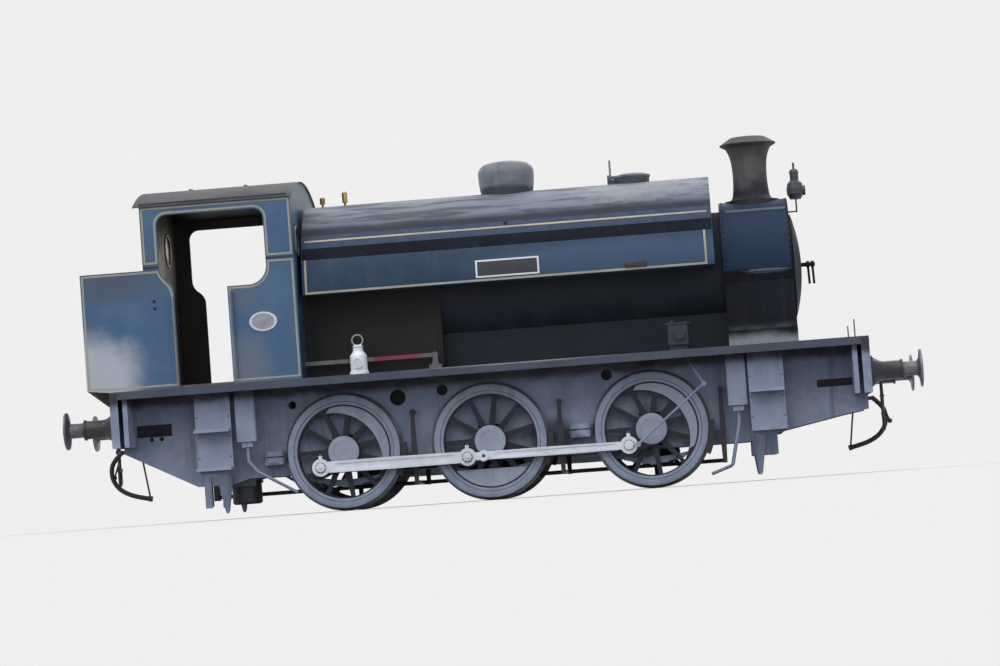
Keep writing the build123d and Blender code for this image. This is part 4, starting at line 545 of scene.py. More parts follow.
zone("tank blue", (0.024, 0.030, 0.044), "Z", 3.005, 3.015, 0.9)
zone("tank blue", (0.215, 0.230, 0.275), "Z", 3.05, 3.16, 0.9, ragged=0.06, scale=3.0)
zone("tank blue", (0.25, 0.26, 0.28), "Z", 3.22, 3.36, 0.7, ragged=0.20, scale=2.2)
tint("tank blue", (0.030, 0.036, 0.052), "level_streaks", Above=3.04, Scale=9.0, Amount=0.68)
mark("tank blue", (0.30, 0.31, 0.33), 1.75, 3.30, 0.85, 0.20, 1.4, 7.0, 0.75)
mark("tank blue", (0.060, 0.105, 0.180), 1.55, 2.52, 2.2, 0.26, 0.5, 1.6, 0.75)
for name in ("cab blue", "bunker blue"):
    mark(name, (0.082, 0.101, 0.150), -4.1, 2.72, 1.0, 0.42, 0.7, 2.5, 0.8)
    # The pale patch low at the bunker's rear is a painted reflection of the bright sky.
    mark(name, (0.54, 0.54, 0.59), -4.20, 1.64, 0.62, 0.56, 0.7, 3.0, 0.9)
    mark(name, (0.17, 0.185, 0.225), -2.58, 1.62, 0.36, 0.50, 0.9, 4.0, 0.7)
    mark(name, (0.12, 0.145, 0.20), -2.62, 2.42, 0.24, 0.30, 0.9, 4.0, 0.6)
zone("bunker blue", (0.048, 0.110, 0.205), "Y", 1.17, 0.85, 0.8, ragged=0.4, scale=2.0)
zone("cab blue", cab_brown, "Y", 1.1615, 1.1605)
zone("bunker blue", cab_brown, "X", -4.3345, -4.3335)
zone("cab end blue", cab_brown, "X", -1.9995, -2.0005)
zone("cab brown", end_blue, "X", -3.6405, -3.6415, 0.9)
# The smokebox's drum is black: its blue upper half is a painted reflection of the sky, and the pale line
# along its widest part is a painted highlight.
zone("drum black", (0.019, 0.038, 0.078), "Z", 2.27, 2.31, 0.9, ragged=0.02)
mark("drum black", (0.20, 0.215, 0.25), 3.10, 2.262, 0.32, 0.035, 0.5, 5.0, 0.7)
zone("drum black", (0.006, 0.007, 0.011), "X", 3.350, 3.358, 0.9)
zone("drum black", (0.060, 0.075, 0.105), "Z", 2.98, 3.06, 0.6, ragged=0.25, scale=3.0)
zone("smokebox black", (0.30, 0.315, 0.35), "Z", 1.63, 1.50, 0.9, ragged=0.14, scale=3.0)
mark("chimney iron", (0.125, 0.122, 0.11), 3.02, 3.47, 0.15, 0.22, 0.8, 6.0, 0.7)
zone("chimney iron", (0.005, 0.007, 0.014), "Z", 3.30, 3.20, 0.9, ragged=0.34, scale=2.0)
# The foot of the dome is darker as a painted shade under its bulge.
zone("dome paint", (0.018, 0.023, 0.038), "Z", 3.47, 3.42, 0.85, ragged=0.10, scale=3.0)
zone("lamp white", (0.26, 0.26, 0.28), "Z", 1.775, 1.785, 0.95)
mark("plate grey", (0.36, 0.36, 0.38), 0.35, 1.462, 1.5, 0.024, 0.4, 3.0, 0.8)
# A painted shade darkens the tops of the frames, steps and sandboxes under the running plate's overhang.
for name in ("frame grey", "box grey"):
    zone(name, (0.018, 0.021, 0.030), "Z", 1.24, 1.34, 0.96, ragged=0.10)
mark("frame grey", (0.020, 0.023, 0.033), 0.62, 0.62, 0.42, 0.30, 0.9, 3.0, 0.8)
zone("reversing rod", (0.26, 0.030, 0.060), "X", -1.256, -1.250)
zone("reversing rod", (0.12, 0.12, 0.125), "X", -0.80, -0.70, 0.9)

# %% [markdown]
# Each solid gets its finish from a short table. The solids keep their own meshes, and only
# their material slots change.

# %% Finishes on the solids
finish_table = {
    "cab blue": ["cab_side_right", "cab_side_left"],
    "bunker blue": ["bunker"],
    "tank blue": ["saddle_tank"],
    "cab end blue": ["cab_front"],
    "cab brown": ["cab_rear"],
    "dome paint": ["dome_cover", "tank_filler", "tank_lid"],
    "boiler black": ["boiler", "platforms"],
    "roof paint": ["cab_roof", "roof_hatch"],
    "engine black": ["buffer_housings", "screw_coupling_front", "screw_coupling_rear",
                     "hose_pipes", "brake_rods", "door_hinges"],
    "lamp grey": ["headlamp"],
    "drum black": ["smokebox"],
    "smokebox black": ["smokebox_saddle", "smokebox_door"],
    "frame grey": ["frame_plate_right", "frame_plate_left", "frame_stays", "axleboxes", "springs",
                   "buffer_beam_front", "buffer_beam_rear", "guard_irons"],
    "box grey": ["steps", "sandboxes", "lubricator"],
    "plate grey": ["running_plate_right", "running_plate_left"],
    "wheel oil and shade": ["wheelset_rear", "wheelset_middle", "wheelset_front"],
    "tyre steel": ["tyres_rear", "tyres_middle", "tyres_front", "buffer_rams"],
    "bright rod": ["coupling_rods_right", "coupling_rods_left"],
    "rough casting": ["cylinder_block", "brake_hangers", "blast_pipe"],
    "chimney iron": ["chimney", "chimney_cap"],
    "firebox black": ["firebox"],
    "old brass": ["whistles", "cab_fittings"],
    "reversing rod": ["reversing_rod"],
    "lamp white": ["hand_lamp"],
    "floor wood": ["cab_floor"],
}
for finish_name, node_names in finish_table.items():
    for node_name in node_names:
        mesh = nodes[node_name].data
        mesh.materials.clear()
        mesh.materials.append(finishes[finish_name])
for hose in hoses:
    hose.data.materials.append(finishes["hose rubber"])
print("without a finish:", [n for n, o in nodes.items() if not o.data.materials])

# %% [markdown]
# Every new piece ends in the same way: its faces are turned outwards, it gets a finish, and
# it rides on the body that carries it.


def end_piece(name, bm, finish, body="engine", smooth=35):
    """Faces outwards, smooth ones with corners sharper than an angle, a finish and a body."""
    bmesh.ops.recalc_face_normals(bm, faces=bm.faces[:])
    piece = mesh_from(name, bm)
    if smooth:
        piece.data.shade_smooth()
        piece.data.set_sharp_from_angle(angle=math.radians(smooth))
    piece.data.materials.append(finishes[finish])
    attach(piece, body)


def thicken(bm, faces, offset):
    """Pushes flat faces out by an offset, with walls round them."""
    grown = bmesh.ops.extrude_face_region(bm, geom=faces)
    moved = [v for v in grown["geom"] if isinstance(v, bmesh.types.BMVert)]
    bmesh.ops.translate(bm, vec=offset, verts=moved)


# %% [markdown]
# ## Lining
#
# A painter lined every panel of the cab and tank with a cream stripe, which runs just
# inside the panel's edge and turns with it. On a flat panel the stripe can be a face with
# rounded corners, inset by the stripe's width, whose middle is thrown away. The ring that is
# left is pushed out by a millimetre, which keeps it crisp in any view, where a painted map
# would blur.

# %% A stripe round a panel
side_out_y = 1.170
stripe_inset = 0.014
stripe_width = 0.020
stripe_lift = 0.0012


def rounded_face(bm, corners, y):
    """A face at one y from (x, z, radius) corners, each rounded by its own radius."""
    points = [bm.verts.new((x, y, z)) for x, z, radius in corners]
    bm.faces.new(points)
    for point, (x, z, radius) in zip(points, corners):
        if radius > 0:
            bmesh.ops.bevel(bm, geom=[point], offset=radius, segments=7, profile=0.5, affect="VERTICES",
                            material=-1)


def keep_inset(bm, width, keep_middle):
    """Insets a panel, whose middle has many corners, and keeps the middle or the ring of quads."""
    middle = [f for f in bm.faces if len(f.verts) > 4]
    bmesh.ops.inset_region(bm, faces=middle, thickness=width, use_even_offset=True, use_boundary=True)
    unwanted = [f for f in bm.faces if (len(f.verts) > 4) != keep_middle]
    bmesh.ops.delete(bm, geom=unwanted, context="FACES_ONLY")


def stripe(name, corners, side):
    """A stripe inside a panel's outline, on the outer face of the right (-1) or left (1) side."""
    bm = bmesh.new()
    rounded_face(bm, corners, side * side_out_y)
    keep_inset(bm, stripe_inset, True)
    keep_inset(bm, stripe_width, False)
    bmesh.ops.delete(bm, geom=[v for v in bm.verts if not v.link_faces], context="VERTS")
    thicken(bm, bm.faces[:], (0, side * stripe_lift, 0))
    end_piece(name, bm, "cream line", smooth=None)


panels = {
    # name: the (x, z, radius) of each corner
    "bunker": [(-4.341, 1.489, 0.0), (-4.341, 2.750, 0.0), (-3.467, 2.750, 0.0), (-3.455, 2.690, 0.03),
               (-3.342, 2.555, 0.03), (-3.326, 2.490, 0.0), (-3.326, 1.470, 0.0), (-4.10, 1.470, 0.0)],
    "cab_lower": [(-2.741, 1.470, 0.0), (-2.741, 2.515, 0.0), (-2.303, 2.515, 0.19), (-2.303, 2.778, 0.0),
                  (-1.996, 2.778, 0.0), (-1.996, 1.470, 0.0)],
    "cab_upper": [(-3.646, 2.800, 0.0), (-3.646, 3.440, 0.0), (-1.996, 3.440, 0.0), (-1.996, 2.800, 0.0),
                  (-2.303, 2.800, 0.0), (-2.303, 3.338, 0.108), (-3.467, 3.338, 0.108), (-3.467, 2.800, 0.0)],
}
for side_name, side in sides:
    for panel_name, outline in panels.items():
        stripe("line_" + panel_name + "_" + side_name, outline, side)
print(len(panels), "panels lined on each side")

# %% [markdown]
# A beading covers the joint between the lower and the upper cab sheet. It could be a swept
# half circle, but a thin bar with bevelled edges looks the same from a step away. It is
# painted black.

# %% Beading on the cab's joint
bead_stand = 0.005


def beading(name, side, x0, x1, z0, z1):
    bm = bmesh.new()
    for vert in bmesh.ops.create_cube(bm, size=1)["verts"]:
        x = (x0 + x1) / 2 + vert.co.x * (x1 - x0)
        y = side_out_y + (0.5 + vert.co.y) * bead_stand
        z = (z0 + z1) / 2 + vert.co.z * (z1 - z0)
        vert.co = Vector((x, side * y, z))
    bmesh.ops.bevel(bm, geom=bm.edges[:], offset=0.45 * bead_stand, segments=2, profile=0.5, affect="EDGES",
                    material=-1)
    end_piece(name, bm, "engine black", smooth=None)


for side_name, side in sides:
    beading("beading_front_" + side_name, side, -2.300, -1.999, 2.781, 2.797)
    beading("beading_rear_" + side_name, side, -3.640, -3.475, 2.766, 2.790)

# %% [markdown]
# The tank is round, so its stripes are bent: a small rectangle is spun about the boiler's
# axis from one height to another. Its inner side lies just under the tank's surface, so no
# gap shows where the solid's facets turn. The same spin makes the black band along the
# shoulder, the upright lines of the blue panel and the strip on the smokebox.

# %% Bands round the tank
tank_radius = 1.050
smokebox_radius = 0.745
boiler_axis_z = 2.338
band_sink = 0.002
band_step = 0.03


def round_band(name, side, x0, x1, z0, z1, finish, lift=0.0025, radius=tank_radius):
    """A thin band on a curve about the boiler's axis, between two heights."""
    low, high = (math.asin((z - boiler_axis_z) / radius) for z in (z0, z1))
    bm = bmesh.new()
    inner = radius - band_sink
    outer = radius + lift
    section = bm.faces.new([bm.verts.new((x, side * r * math.cos(low), boiler_axis_z + r * math.sin(low)))
                            for x, r in ((x0, inner), (x1, inner), (x1, outer), (x0, outer))])
    bmesh.ops.spin(bm, geom=[section, *section.edges, *section.verts], cent=(0, 0, boiler_axis_z),
                   axis=(side, 0, 0), angle=high - low, steps=max(1, round((high - low) / band_step)))
    end_piece(name, bm, finish, smooth=30)


tank_lines = [
    # name, x0, x1, z0, z1
    ("bottom", -1.911, 2.449, 2.363, 2.386),
    ("front", 2.427, 2.449, 2.386, 2.738),
    ("rear", -1.911, -1.889, 2.386, 2.738),
    ("shoulder", -1.905, 2.480, 2.938, 2.957),
]
for side_name, side in sides:
    for line_name, *extent in tank_lines:
        round_band("tank_line_" + line_name + "_" + side_name, side, *extent, "cream line")
    round_band("tank_band_" + side_name, side, -1.935, 2.523, 2.740, 2.866, "band black", lift=0.0015)
    round_band("smokebox_strip_" + side_name, side, 2.69, 3.34, 2.938, 2.966, "plate grey", lift=0.004,
               radius=smokebox_radius)

# %% [markdown]
# ## Turned and repeated pieces
#
# Most of what is too small for the solids is round: hub discs, rims, caps, rivets, glass,
# gauges. Each is a profile spun once about its own Z, and then copied wherever it is
# needed, with its Z turned to face outwards. All copies that share a body and a finish are
# joined in one mesh, which is far lighter than hundreds of objects.

# %% Turned pieces and their copies
def turned_unit(profile, steps=24):
    """A mesh from (radius, height) points spun round Z."""
    bm = bmesh.new()
    points = [bm.verts.new((radius, 0, height)) for radius, height in profile]
    edges = [bm.edges.new(pair) for pair in zip(points, points[1:])]
    bmesh.ops.spin(bm, geom=points + edges, cent=(0, 0, 0), axis=(0, 0, 1), angle=math.tau, steps=steps,
                   use_merge=True)
    bmesh.ops.remove_doubles(bm, verts=bm.verts[:], dist=1e-6)
    unit = bpy.data.meshes.new("unit")
    bm.to_mesh(unit)
    bm.free()
    return unit


def facing(x, y, z, outwards):
    """The place of a copy whose own Z points outwards."""
    turn = Vector(outwards).to_track_quat("Z", "Y").to_matrix().to_4x4()
    return Matrix.Translation((x, y, z)) @ turn


def on_side(x, side, y, z):
    """A place on the right (-1) or left (1) of the engine, which faces away from it."""
    return facing(x, side * y, z, (0, side, 0))


def copies(name, unit, places, finish, body="engine", smooth=35):
    """One joined mesh with a copy of the unit at each place."""
    bm = bmesh.new()
    for place in places:
        moved = unit.copy()
        moved.transform(place)
        bm.from_mesh(moved)
        bpy.data.meshes.remove(moved)
    end_piece(name, bm, finish, body, smooth)


# %% [markdown]
# The wheels are the part of the engine that the eye goes to. Their castings are dark with
# oil between the spokes, and their darkness is also a painted shade there and inside the
# rims. The face of the tyre, the rim, the end of the hub and the machined faces of the
# balance weights are paler, so they are thin faces laid on the casting, each a millimetre or
# a few proud, riding with their own axle. The cap of the front right crank pin is a low one,
# because the lubricator's drive rod stands beside it.

# %% Wheel faces
axle_x = {"rear": -1.641, "middle": -0.041, "front": 1.712}
axle_z = 0.644
pin_throw = 0.3
pin_angle = {-1: 212, 1: 302}
wheel_faces = [
    # name, unit, y of its back, finish
    ("tyre_face", turned_unit([(0.549, 0.0), (0.550, 0.0012), (0.609, 0.0012), (0.611, 0.0)], steps=96),
     0.8108, "rim grey"),
    ("rim_face", turned_unit([(0.512, 0.0), (0.513, 0.0014), (0.541, 0.0014), (0.542, 0.0)], steps=96),
     0.803, "rim grey"),
    ("joint_ring", turned_unit([(0.542, 0.0), (0.542, 0.0006), (0.549, 0.0006), (0.549, 0.0)], steps=96),
     0.803, "engine black"),
    ("hub_face", turned_unit([(0.0, 0.004), (0.030, 0.004), (0.031, 0.0015), (0.036, 0.0015), (0.037, 0.004),
                              (0.098, 0.004), (0.100, 0.001), (0.106, 0.001), (0.108, 0.004),
                              (0.160, 0.004), (0.168, 0.0)], steps=48), 0.833, "pale wheel grey"),
]
pin_end_y = 0.919
pin_cap = turned_unit([(0.0, 0.020), (0.016, 0.020), (0.020, 0.016), (0.020, 0.010), (0.046, 0.010),
                       (0.052, 0.005), (0.053, 0.0)], steps=8)
low_cap = turned_unit([(0.0, 0.0028), (0.016, 0.0028), (0.020, 0.0024), (0.020, 0.0016), (0.046, 0.0016),
                       (0.052, 0.001), (0.053, 0.0)], steps=8)
weight_y = 0.7872
weight_stand = 0.004
weight_table = {
    # name: kind, angle on the right, angle on the left
    "rear": ("crescent", 40, 106),
    "middle": ("segment", 270, 240),
    "front": ("crescent", 40, 106),
}


def weight_outline(kind):
    """The corners of a balance weight's face that points along +X."""
    radius = 0.494
    hollow_x = -0.150
    hollow_radius = 0.525
    if kind == "crescent":
        outer = [math.radians(turn) for turn in range(-66, 67, 6)]
        inner = [math.radians(turn) for turn in range(56, -57, -7)]
        return ([(radius * math.cos(t), radius * math.sin(t)) for t in outer]
                + [(hollow_x + hollow_radius * math.cos(t), hollow_radius * math.sin(t)) for t in inner])
    outer = [math.radians(turn) for turn in range(-51, 52, 6)]
    return [(radius * math.cos(t), radius * math.sin(t)) for t in outer] + [(0.302, 0.388), (0.302, -0.388)]


def turned_point(x, z, degrees):
    turn = math.radians(degrees)
    return x * math.cos(turn) - z * math.sin(turn), x * math.sin(turn) + z * math.cos(turn)


def pin_place(x, side):
    """The x and z of the crank pin of a wheel whose axle is at x."""
    turn = math.radians(pin_angle[side])
    return x + pin_throw * math.cos(turn), axle_z + pin_throw * math.sin(turn)


for name, x in axle_x.items():
    body = "wheelset_" + name
    for side_name, side in sides:
        tag = name + "_" + side_name
        for face_name, unit, y, finish in wheel_faces:
            copies(face_name + "_" + tag, unit, [on_side(x, side, y, axle_z)], finish, body)
        pin_x, pin_z = pin_place(x, side)
        cap = low_cap if tag == "front_right" else pin_cap
        copies("pin_cap_" + tag, cap, [on_side(pin_x, side, pin_end_y, pin_z)], "bright rod", body, smooth=20)
        kind, right_turn, left_turn = weight_table[name]
        degrees = right_turn if side < 0 else left_turn
        bm = bmesh.new()
        corners = [turned_point(cx, cz, degrees) for cx, cz in weight_outline(kind)]
        face = bm.faces.new([bm.verts.new((x + cx, side * weight_y, axle_z + cz)) for cx, cz in corners])
        thicken(bm, [face], (0, side * weight_stand, 0))
        end_piece("weight_face_" + tag, bm, "pale wheel grey", body)

# %% [markdown]
# The coupling rods carry brass-bushed knuckles and oil cups. The knuckle's pin shows as a
# dark disc in a bright boss, and each oil cup gets a cork.

# %% Rod details
knuckle = turned_unit([(0.0, 0.003), (0.020, 0.003), (0.021, 0.0005), (0.040, 0.0005), (0.041, 0.004),
                       (0.052, 0.004), (0.056, 0.0)], steps=32)
knuckle_pin = turned_unit([(0.0, 0.0042), (0.017, 0.0042), (0.019, 0.003)], steps=24)
cork = turned_unit([(0.0, 0.022), (0.010, 0.022), (0.012, 0.018), (0.012, 0.0)], steps=12)
knuckle_ahead = 0.176
rod_face_y = 0.905
cup_y = 0.877
cup_rise = 0.129
for side_name, side in sides:
    body = "rods_" + side_name
    pins = [pin_place(x, side) for x in axle_x.values()]
    middle_x, pin_z = pins[1]
    place = on_side(middle_x + knuckle_ahead, side, rod_face_y, pin_z)
    copies("knuckle_" + side_name, knuckle, [place], "bright rod", body)
    copies("knuckle_pin_" + side_name, knuckle_pin, [place], "engine black", body)
    cups = [facing(x, side * cup_y, z + cup_rise, (0, 0, 1)) for x, z in pins]
    copies("rod_corks_" + side_name, cork, cups, "floor wood", body)

# %% [markdown]
# ## Windows, lamps and gauges
#
# The round windows have thin glass set in their rings and a brass bead on each face. Glass
# keeps a plain transmission and a low roughness, with a touch of grey so that it doesn't
# vanish against the sky.

# %% Glass and lenses
finishes["glass"], tree, pane = start_material("glass")
pane.inputs["Base Color"].default_value = (0.80, 0.85, 0.86, 1)
pane.inputs["Transmission Weight"].default_value = 0.95
pane.inputs["Roughness"].default_value = 0.06
pane.inputs["IOR"].default_value = 1.3
half_ring = 0.013
window_table = [
    # name, x of the sheet's middle, y, z, diameter
    ("front", -2.001, 0.830, 2.960, 0.300),
    ("rear", -3.641, 0.560, 3.080, 0.340),
]
for window_name, x, y, z, dia in window_table:
    radius = dia / 2
    disc = turned_unit([(0.0, 0.002), (radius + 0.001, 0.002), (radius + 0.001, -0.002), (0.0, -0.002)],
                       steps=40)
    bead = turned_unit([(radius - 0.002, 0.0), (radius, 0.005), (radius + 0.010, 0.007),
                        (radius + 0.022, 0.004), (radius + 0.024, 0.0)], steps=48)
    panes = [facing(x, side * y, z, (1, 0, 0)) for side in (-1, 1)]
    rings = [facing(x + way * half_ring, side * y, z, (way, 0, 0)) for side in (-1, 1) for way in (-1, 1)]
    copies("window_glass_" + window_name, disc, panes, "glass")
    copies("window_beads_" + window_name, bead, rings, "old brass")

lens = turned_unit([(0.0, 0.012), (0.020, 0.010), (0.036, 0.005), (0.044, 0.0)], steps=32)
lens_ring = turned_unit([(0.043, 0.0), (0.044, 0.007), (0.054, 0.007), (0.055, 0.0)], steps=32)
lamps = [
    # name, place, finish of the ring
    ("headlamp", facing(3.579, 0.0, 3.161, (1, 0, 0)), "engine black"),
    ("hand_lamp", facing(-1.380, -1.208, 1.578, (0, -1, 0)), "lamp white"),
]
for lamp_name, place, ring_finish in lamps:
    copies(lamp_name + "_lens", lens, [place], "glass")
    copies(lamp_name + "_ring", lens_ring, [place], ring_finish)

# %% [markdown]
# What is neither round nor bent is a box: needles, boards, brackets. The box starts as a
# cube of one metre, whose corners are moved to their places.

# %% Boxes
def add_box(bm, x0, x1, y0, y1, z0, z1, edge=0.0):
    """A box between two corners, its edges bevelled if asked."""
    made = bmesh.ops.create_cube(bm, size=1)
    middle = Vector(((x0 + x1) / 2, (y0 + y1) / 2, (z0 + z1) / 2))
    size = Vector((abs(x1 - x0), abs(y1 - y0), abs(z1 - z0)))
    for vert in made["verts"]:
        vert.co = middle + vert.co * size
    if edge:
        edges = list(dict.fromkeys(e for v in made["verts"] for e in v.link_edges))
        bmesh.ops.bevel(bm, geom=edges, offset=edge, segments=2, profile=0.5, affect="EDGES", material=-1)


# %% [markdown]
# The pressure gauges on the backhead have a white dial, a black needle and a few marks, and
# no lettering. Small flat boxes do for the needles and marks, as nobody sees their sides.

# %% Gauges on the backhead
dial = turned_unit([(0.0, 0.0015), (0.038, 0.0015), (0.038, 0.0)], steps=32)
gauge_rim = turned_unit([(0.038, 0.0), (0.038, 0.004), (0.044, 0.004), (0.045, 0.0)], steps=32)
gauge_ys = (-0.18, -0.06, 0.06, 0.18)
gauge_z = 2.878
dial_back_x = -2.311
dial_front_x = -2.3128
marks_radius = 0.032
gauge_places = [facing(dial_back_x, y, gauge_z, (-1, 0, 0)) for y in gauge_ys]
copies("gauge_dials", dial, gauge_places, "white paint")
copies("gauge_rims", gauge_rim, gauge_places, "old brass")
needles = bmesh.new()
for gauge_y in gauge_ys:
    add_box(needles, -2.3135, dial_front_x, gauge_y - 0.002, gauge_y + 0.002, gauge_z, 2.908)
    for turn in range(-120, 121, 30):
        y = gauge_y + marks_radius * math.sin(math.radians(turn))
        z = gauge_z + marks_radius * math.cos(math.radians(turn))
        add_box(needles, -2.3133, dial_front_x, y - 0.0015, y + 0.0015, z - 0.003, z + 0.003)
end_piece("gauge_needles", needles, "engine black")

# %% [markdown]
# ## Plates
#
# The nameplate is bent to the tank, so it is made of the same bands as the lining: a black
# field and a raised white border. The oval plate on each cab side is a flat ellipse with a
# raised rim, turned as a circle and then stretched. Both stay blank.

# %% Nameplates and oval plates
nameplate_edges = [
    # name, x0, x1, z0, z1
    ("low", -0.051, 0.639, 2.400, 2.418),
    ("high", -0.051, 0.639, 2.572, 2.590),
    ("rear", -0.051, -0.031, 2.400, 2.590),
    ("front", 0.619, 0.639, 2.400, 2.590),
]
for side_name, side in sides:
    round_band("nameplate_field_" + side_name, side, -0.040, 0.628, 2.408, 2.582, "engine black", lift=0.006)
    for edge_name, *extent in nameplate_edges:
        round_band("nameplate_" + edge_name + "_" + side_name, side, *extent, "white paint", lift=0.011)

oval = turned_unit([(0.78, 0.0), (0.80, 0.009), (0.96, 0.009), (1.0, 0.0)], steps=64)
oval_field = turned_unit([(0.0, 0.006), (0.40, 0.0058), (0.70, 0.005), (0.80, 0.004)], steps=64)
oval_half_length = 0.154
oval_half_height = 0.107
for side_name, side in sides:
    place = on_side(-2.375, side, side_out_y, 2.103)
    middle = place.to_translation()
    stretch = Matrix.Diagonal((oval_half_length, 1, oval_half_height, 1))
    shape = Matrix.Translation(middle) @ stretch @ Matrix.Translation(-middle) @ place
    copies("oval_plate_" + side_name, oval, [shape], "white paint")
    copies("oval_field_" + side_name, oval_field, [shape], "plate field")

# %% [markdown]
# ## Rivets and bolts
#
# Riveted work is what makes an engine of this age look built. The rows come from short
# tables, and each rivet is a low dome of eight sides: at this size more sides don't show.

# %% Rivets and bolts of the beams
rivet = turned_unit([(0.0, 0.0065), (0.0055, 0.0055), (0.009, 0.002), (0.0095, -0.001)], steps=8)
bolt = turned_unit([(0.0, 0.013), (0.013, 0.013), (0.014, 0.012), (0.014, 0.0), (0.020, 0.0),
                    (0.021, -0.001)], steps=6)


def spaced(start, end, pitch):
    """Numbers from start to end, about a pitch apart."""
    count = max(1, round((end - start) / pitch))
    return [start + (end - start) * step / count for step in range(count + 1)]


beam_x = 4.1
buffer_y = 0.8635
buffer_z = 1.082
low_row_z = 0.886
high_row_z = 1.414
beam_rivets = []
beam_bolts = []
for end_name, end in ends:
    out = (end, 0, 0)
    for z in (low_row_z, high_row_z):
        beam_rivets += [facing(end * beam_x, y, z, out) for y in spaced(-1.17, 1.17, 0.13)
                        if abs(abs(y) - buffer_y) > 0.19 or z == low_row_z]
    for y in (-0.63, 0.63, -0.56, 0.56):
        beam_rivets += [facing(end * beam_x, y, z, out) for z in spaced(0.96, 1.34, 0.095)]
    flanges = ((4.125, -buffer_y, 0.135), (4.125, buffer_y, 0.135), (4.12, 0.0, 0.115))
    for flange_x, y, spread in flanges:
        beam_bolts += [facing(end * flange_x, y + dy, buffer_z + dz, out)
                       for dy in (-spread, spread) for dz in (-spread, spread)]
copies("beam_rivets", rivet, beam_rivets, "frame grey")
copies("beam_bolts", bolt, beam_bolts, "engine black", smooth=20)
print(len(beam_rivets), "rivets and", len(beam_bolts), "bolts on the beams")

# %% [markdown]
# The smokebox is riveted round both ends of its drum, round its front ring and along its
# saddle. The rivets of the front ring stop where the door's hinges are.

# %% Rivets of the smokebox
front_ring_x = 3.369
front_ring_radius = 0.655
hinge_y = 0.55
drum_side_y = 0.722
saddle_foot_y = 0.800
saddle_foot_z = 1.50
smokebox_rivets = []
for x in (2.650, 3.350):
    for turn in range(0, 181, 6):
        across = math.cos(math.radians(turn))
        up = math.sin(math.radians(turn))
        z = boiler_axis_z + smokebox_radius * up
        smokebox_rivets.append(facing(x, smokebox_radius * across, z, (0, across, up)))
for turn in range(0, 360, 12):
    y = front_ring_radius * math.cos(math.radians(turn))
    z = boiler_axis_z + front_ring_radius * math.sin(math.radians(turn))
    if y < hinge_y:
        smokebox_rivets.append(facing(front_ring_x, y, z, (1, 0, 0)))
for side_name, side in sides:
    for x in (2.650, 3.344):
        smokebox_rivets += [on_side(x, side, drum_side_y, z) for z in spaced(1.76, 2.16, 0.08)]
    smokebox_rivets += [on_side(x, side, saddle_foot_y, saddle_foot_z) for x in spaced(2.66, 3.33, 0.09)]
copies("smokebox_rivets", rivet, smokebox_rivets, "smokebox black")
print(len(smokebox_rivets), "rivets on the smokebox")

# %% [markdown]
# The frame plates carry a row of bolts wherever a stay or a bracket joins them inside, and
# three beside each axlebox. The valance of the running plate, the steps and the bunker's
# end have rows of their own.

# %% Bolts and rivets of the frames, steps and bunker
frame_y = 0.645
horn_y = 0.661
valance_y = 1.220
valance_z = 1.386
step_y = 1.022
bunker_end_x = -4.341
frame_rows = [
    # x of the row, z of its foot, z of its head
    (-3.880, 0.90, 1.40), (-3.030, 0.47, 1.34), (-2.760, 0.90, 1.38), (-2.330, 0.62, 1.36),
    (-2.36, 0.66, 1.30), (-0.930, 0.60, 1.34), (0.620, 1.22, 1.36), (1.025, 0.78, 1.30),
    (2.420, 0.80, 1.40), (2.300, 0.66, 1.40), (2.700, 0.62, 1.38), (3.240, 0.62, 1.38), (3.900, 1.08, 1.38),
]
frame_bolts = []
plate_rivets = []
for side_name, side in sides:
    for x, z0, z1 in frame_rows:
        frame_bolts += [on_side(x, side, frame_y, z) for z in spaced(z0, z1, 0.14)]
    for x in axle_x.values():
        for cheek in (-0.149, 0.149):
            frame_bolts += [on_side(x + cheek, side, horn_y, z) for z in spaced(0.50, 0.79, 0.097)]
    plate_rivets += [on_side(x, side, valance_y, valance_z) for x in spaced(-3.95, 3.95, 0.16)]
    for x in (2.81, 3.15, -3.19, -2.85):
        plate_rivets += [on_side(x, side, step_y, z) for z in spaced(0.68, 1.34, 0.22)]
copies("frame_bolts", rivet, frame_bolts, "frame grey")
copies("plate_rivets", rivet, plate_rivets, "plate grey")

bunker_spots = [(y, z) for y in (-1.13, 1.13, -0.38, 0.38) for z in spaced(1.56, 2.70, 0.075)]
bunker_spots += [(y, z) for z in (1.54, 2.72) for y in spaced(-1.06, 1.06, 0.076)]
copies("bunker_rivets", rivet, [facing(bunker_end_x, y, z, (-1, 0, 0)) for y, z in bunker_spots],
       "bunker blue")
print(len(frame_bolts), "frame bolts,", len(plate_rivets), "plate and", len(bunker_spots), "bunker rivets")

# %% [markdown]
# The slots and holes in the frames look into the dark between the plates. Each gets a dark
# floor, as the solids stop eight millimetres short of going through. Two small holes in the
# bunker's sheet are dark discs too.

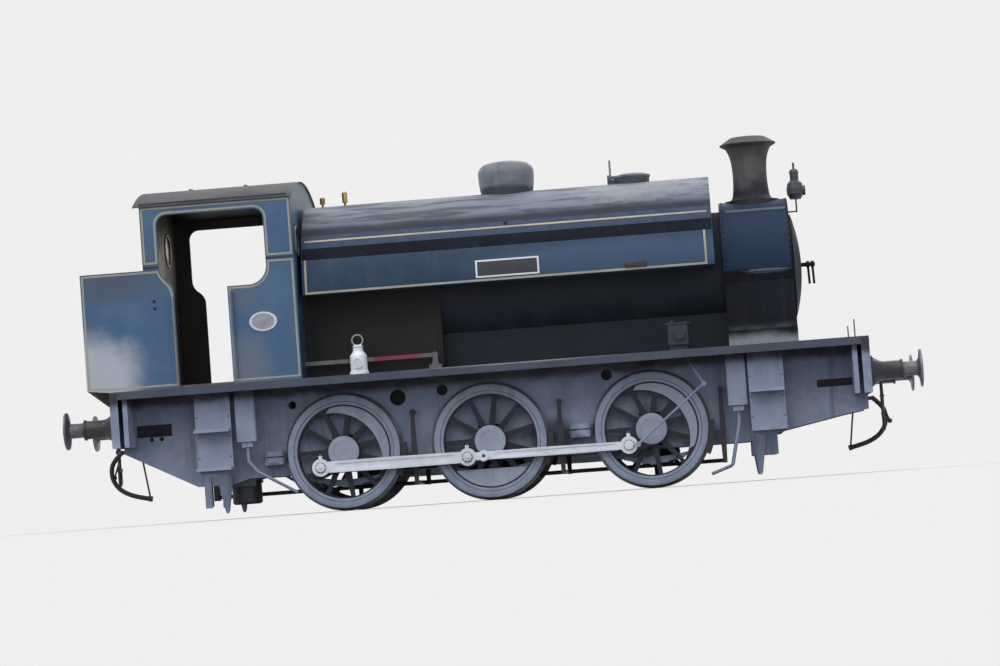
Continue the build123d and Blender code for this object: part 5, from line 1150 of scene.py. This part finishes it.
# %% Dark floors
spot = turned_unit([(0.0, 0.0), (1.0, 0.0)], steps=32)
dark_holes = [
    # x, y, z, radius
    (-0.538, 0.6240, 1.237, 0.0595), (1.262, 0.6240, 1.266, 0.0595), (-3.651, 0.6240, 0.930, 0.0245),
    (-3.761, 0.6240, 0.930, 0.0245), (-3.545, 1.1706, 2.41, 0.020), (-3.545, 1.1706, 2.33, 0.020),
]
dark_slots = [
    # x0, x1, z0, z1
    (3.529, 3.960, 0.958, 1.040), (-4.0, -3.532, 0.958, 1.090),
]
floor_back_y = 0.6232
floor_face_y = 0.6240
floors = bmesh.new()
for side_name, side in sides:
    for x0, x1, z0, z1 in dark_slots:
        add_box(floors, x0, x1, side * floor_back_y, side * floor_face_y, z0, z1)
dark_spots = [on_side(x, side, y, z) @ Matrix.Scale(radius, 4)
              for side_name, side in sides for x, y, z, radius in dark_holes]
copies("dark_spots", spot, dark_spots, "shadow black")
end_piece("slot_floors", floors, "shadow black")

# %% [markdown]
# ## Small fittings
#
# The screw of each coupling has a square thread. A row of thin rings reads as a thread from
# any distance at which the whole engine can be seen.

# %% Coupling threads
thread = turned_unit([(0.018, -0.0022), (0.0225, -0.0016), (0.0225, 0.0016), (0.018, 0.0022)], steps=16)
thread_x = 4.25
thread_foot_z = 0.664
thread_pitch = 0.009
for end_name, end in ends:
    rings = [facing(end * thread_x, 0, thread_foot_z + thread_pitch * step, (0, 0, 1)) for step in range(17)]
    copies("coupling_thread_" + end_name, thread, rings, "rod grey", "coupling_" + end_name)

# %% [markdown]
# The cab's floor is made of boards, whose joints are thin dark strips. The strips in the
# middle are shorter, because the backhead stands there. The brackets of the tank are plain
# boxes with bevelled edges.

# %% Floor boards and tank brackets
board_width = 0.1925
board_edge_y = -1.155
rear_x = -3.634
backhead_half_width = 0.66
boards = bmesh.new()
for count in range(1, 12):
    y = board_edge_y + board_width * count
    front_x = -2.190 if abs(y) < backhead_half_width else -2.010
    add_box(boards, rear_x, front_x, y - 0.002, y + 0.002, 1.4815, 1.4826)
end_piece("board_joints", boards, "shadow black")

brackets = bmesh.new()
for side_name, side in sides:
    add_box(brackets, 0.278, 0.310, side * 0.790, side * 0.850, 2.985, 3.020, edge=0.004)
    add_box(brackets, 1.560, 1.790, side * 1.030, side * 1.072, 2.392, 2.448, edge=0.006)
end_piece("tank_brackets", brackets, "engine black")
